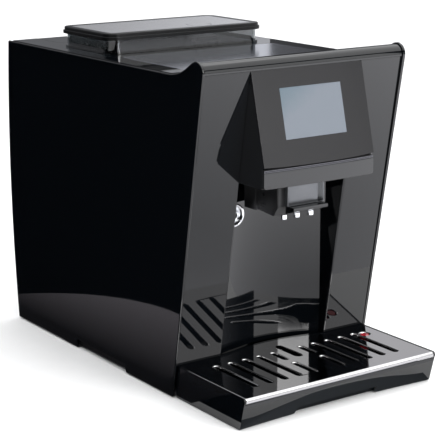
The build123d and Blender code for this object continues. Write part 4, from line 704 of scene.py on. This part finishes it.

# %% [markdown]
# Cards that only reflections can see do the work of a studio's flags and reflectors. A black one
# on the floor to the left keeps the left panel deep. A round pale one and an oblong one on the floor
# at its foot give that panel its glow, and their glow is painted dimmer towards the machine, as
# painted shade at its foot. A dim strip under the tray's edge, painted shade in front of the tray,
# is what its leaning front mirrors, and a pale wall behind the machine, with a dim strip at its
# right, is what the top mirrors. The black card gives no light. The others shine by themselves and
# fade from side to side.

# %% Cards
def card(name, shape, place, size):
    """A card that only reflections can see: a disc or plane on the floor, or an upright wall."""
    bpy.ops.object.select_all(action="DESELECT")
    if shape == "disc":
        bpy.ops.mesh.primitive_circle_add(vertices=96, radius=1.0, fill_type="NGON")
    else:
        bpy.ops.mesh.primitive_plane_add(size=1.0)
    made = bpy.context.object
    made.name = name
    made.location = place
    made.scale = (size[0], size[1], 1)
    if shape == "wall":
        made.rotation_euler = (math.radians(90), 0, 0)
    glow = bpy.data.materials.new(name)
    glow.use_nodes = True
    glow.node_tree.nodes.clear()
    made.data.materials.append(glow)
    made.visible_camera = False
    made.visible_diffuse = False
    made.visible_shadow = False
    made.visible_transmission = False
    return glow.node_tree, add_node(glow.node_tree, "ShaderNodeOutputMaterial")


def black_card(name, shape, place, size):
    tree, out = card(name, shape, place, size)
    black = add_node(tree, "ShaderNodeEmission", {"Color": linear("#000000"), "Strength": 0.0})
    tree.links.new(black.outputs[0], out.inputs["Surface"])


def ramp(tree, value, start, end, low, high):
    """A value that goes from low to high while another goes from start to end."""
    return add_node(tree, "ShaderNodeMapRange",
                    {"Value": value, "From Min": start, "From Max": end, "To Min": low,
                     "To Max": high}).outputs["Result"]


def fading_card(name, shape, place, size, colour, start, end, low, high):
    """A card whose glow is painted to fade along X, between two strengths at two places."""
    tree, out = card(name, shape, place, size)
    spot = add_node(tree, "ShaderNodeNewGeometry")
    axes = add_node(tree, "ShaderNodeSeparateXYZ", {"Vector": spot.outputs["Position"]})
    light = add_node(tree, "ShaderNodeEmission",
                     {"Color": linear(colour),
                      "Strength": ramp(tree, axes.outputs["X"], start, end, low, high)})
    tree.links.new(light.outputs[0], out.inputs["Surface"])


# Each card has a shape, a place and a size. A fading one has a colour, the two places along X
# between which it fades, and its strength at each of them.
black_card("black_flag", "plane", (-3.13, 2.35, 0.0010), (6.0, 5.4))
# Glow painted dimmer towards the machine: painted shade at its foot.
fading_card("turntable", "disc", (-0.080, 0.120, 0.0020), (0.196, 0.196), "#cfc8d0",
            -0.14, -0.265, 0.06, 0.85)
# A dim strip, painted shade in front of the tray, which its leaning front mirrors.
fading_card("tray_shade_strip", "plane", (0.0, -0.2196, 0.0006), (0.237, 0.0192), "#e4ecf4",
            -0.12, 0.12, 0.32, 0.26)
fading_card("backdrop", "wall", (0.26, 0.5, 0.60), (0.76, 0.56), "#eceef4",
            0.12, 0.40, 0.26, 0.80)
fading_card("backdrop_gap", "wall", (0.55, 0.499, 0.60), (0.20, 0.56), "#eceef4",
            0.45, 0.65, 0.10, 0.05)
# Glow painted dimmer towards the machine: painted shade at its foot.
fading_card("turntable_front", "plane", (-0.198, -0.010, 0.0016), (0.156, 0.25), "#cfc8d0",
            -0.15, -0.30, 0.05, 0.40)

# %% [markdown]
# A glowing card stands for the paper in front of the machine: brighter further out, and painted
# dimmer near the machine, as painted shade. The columns and the wall of the niche mirror it.

# %% Paper glow with painted shade
# The glow is dimmest at the dim spot: painted shade in front of the machine.
DIM_SPOT = (0.05, -0.35, 0.0)
NEAR_DIM, FAR_BRIGHT = 0.05, 0.8         # distances from the dim spot, in metres
DIM, BRIGHT = 1.2, 2.8
tree, out = card("paper_glow_and_painted_shade", "plane", (1.00, -1.42, 0.0010), (3.0, 2.36))
spot = add_node(tree, "ShaderNodeNewGeometry")
away = add_node(tree, "ShaderNodeVectorMath",
                {0: spot.outputs["Position"], 1: DIM_SPOT}, operation="DISTANCE")
light = add_node(tree, "ShaderNodeEmission",
                 {"Color": linear("#fbfbff"),
                  "Strength": ramp(tree, away.outputs["Value"], NEAR_DIM, FAR_BRIGHT, DIM,
                                   BRIGHT)})
tree.links.new(light.outputs[0], out.inputs["Surface"])

# %% [markdown]
# Three soft boxes and an even sky light the machine and the paper. Two of the boxes stand in front
# of the machine to its right, the lower one very weak, and one hangs above. The sky is a sun lamp
# with a very wide angle, so that its shadows are soft enough to be hardly seen.

# %% Lights
SKY_STRENGTH, SKY_ANGLE = 3.8, math.radians(110)
SKY_TILT = (math.radians(8), math.radians(6), 0)


def soft_box(name, place, size, watts):
    """A square lamp that looks at the middle of the machine."""
    lamp = bpy.data.objects.new(name, bpy.data.lights.new(name, "AREA"))
    bpy.context.scene.collection.objects.link(lamp)
    lamp.data.shape = "RECTANGLE"
    lamp.data.size = lamp.data.size_y = size
    lamp.data.energy = watts
    lamp.location = place
    lamp.rotation_mode = "QUATERNION"
    lamp.rotation_quaternion = (Vector(place) - MIDDLE).to_track_quat("Z", "Y")


MIDDLE = (cad_low + cad_high) / 2
soft_box("front_box", (0.78, -1.28, 0.50), 0.5, 1.5)
soft_box("fill_box", (0.30, -1.50, 0.82), 0.62, 13)
soft_box("top_box", (0.15, -0.10, 1.9), 1.6, 10)
sky_light = bpy.data.objects.new("even_sky", bpy.data.lights.new("even_sky", "SUN"))
bpy.context.scene.collection.objects.link(sky_light)
sky_light.data.energy = SKY_STRENGTH
sky_light.data.angle = SKY_ANGLE
sky_light.rotation_euler = SKY_TILT

# %% [markdown]
# The surroundings are a sky with two faces. Seen directly, it is an even pale background. Seen in
# a reflection, it is a room that is bright behind the machine and to its right, and dim in front
# and to the left, where the black casing must stay black.

# %% Surroundings
SIDEWAYS = 0.55              # how strongly the room brightens to the right, with 1 to the back
ROOM_SPAN = 1.1              # the range of that sum over which the room's colours are spread
world = bpy.data.worlds.new("studio")
bpy.context.scene.world = world
world.use_nodes = True
tree = world.node_tree
tree.nodes.clear()
way = add_node(tree, "ShaderNodeTexCoord")
axes = add_node(tree, "ShaderNodeSeparateXYZ", {"Vector": way.outputs["Generated"]})
along = add_node(tree, "ShaderNodeMath", {0: axes.outputs["X"], 1: SIDEWAYS, 2: axes.outputs["Y"]},
                 operation="MULTIPLY_ADD")
room = add_node(tree, "ShaderNodeValToRGB",
                {"Fac": ramp(tree, along.outputs[0], -ROOM_SPAN, ROOM_SPAN, 0.0, 1.0)})
room.color_ramp.elements[0].color = linear("#282a2e")
room.color_ramp.elements[1].color = linear("#cbcbce")
room.color_ramp.elements.new(0.45).color = linear("#414448")
room.color_ramp.elements.new(0.72).color = linear("#a9abb0")
seen = add_node(tree, "ShaderNodeLightPath")
choice = add_node(tree, "ShaderNodeMix",
                  {"Factor": seen.outputs["Is Camera Ray"], "A": room.outputs["Color"],
                   "B": linear("#fdfdfd")}, data_type="RGBA")
sky = add_node(tree, "ShaderNodeBackground", {"Color": choice.outputs["Result"], "Strength": 1.0})
add_node(tree, "ShaderNodeOutputWorld", {"Surface": sky.outputs[0]})
print("sky:", len(tree.nodes), "nodes")
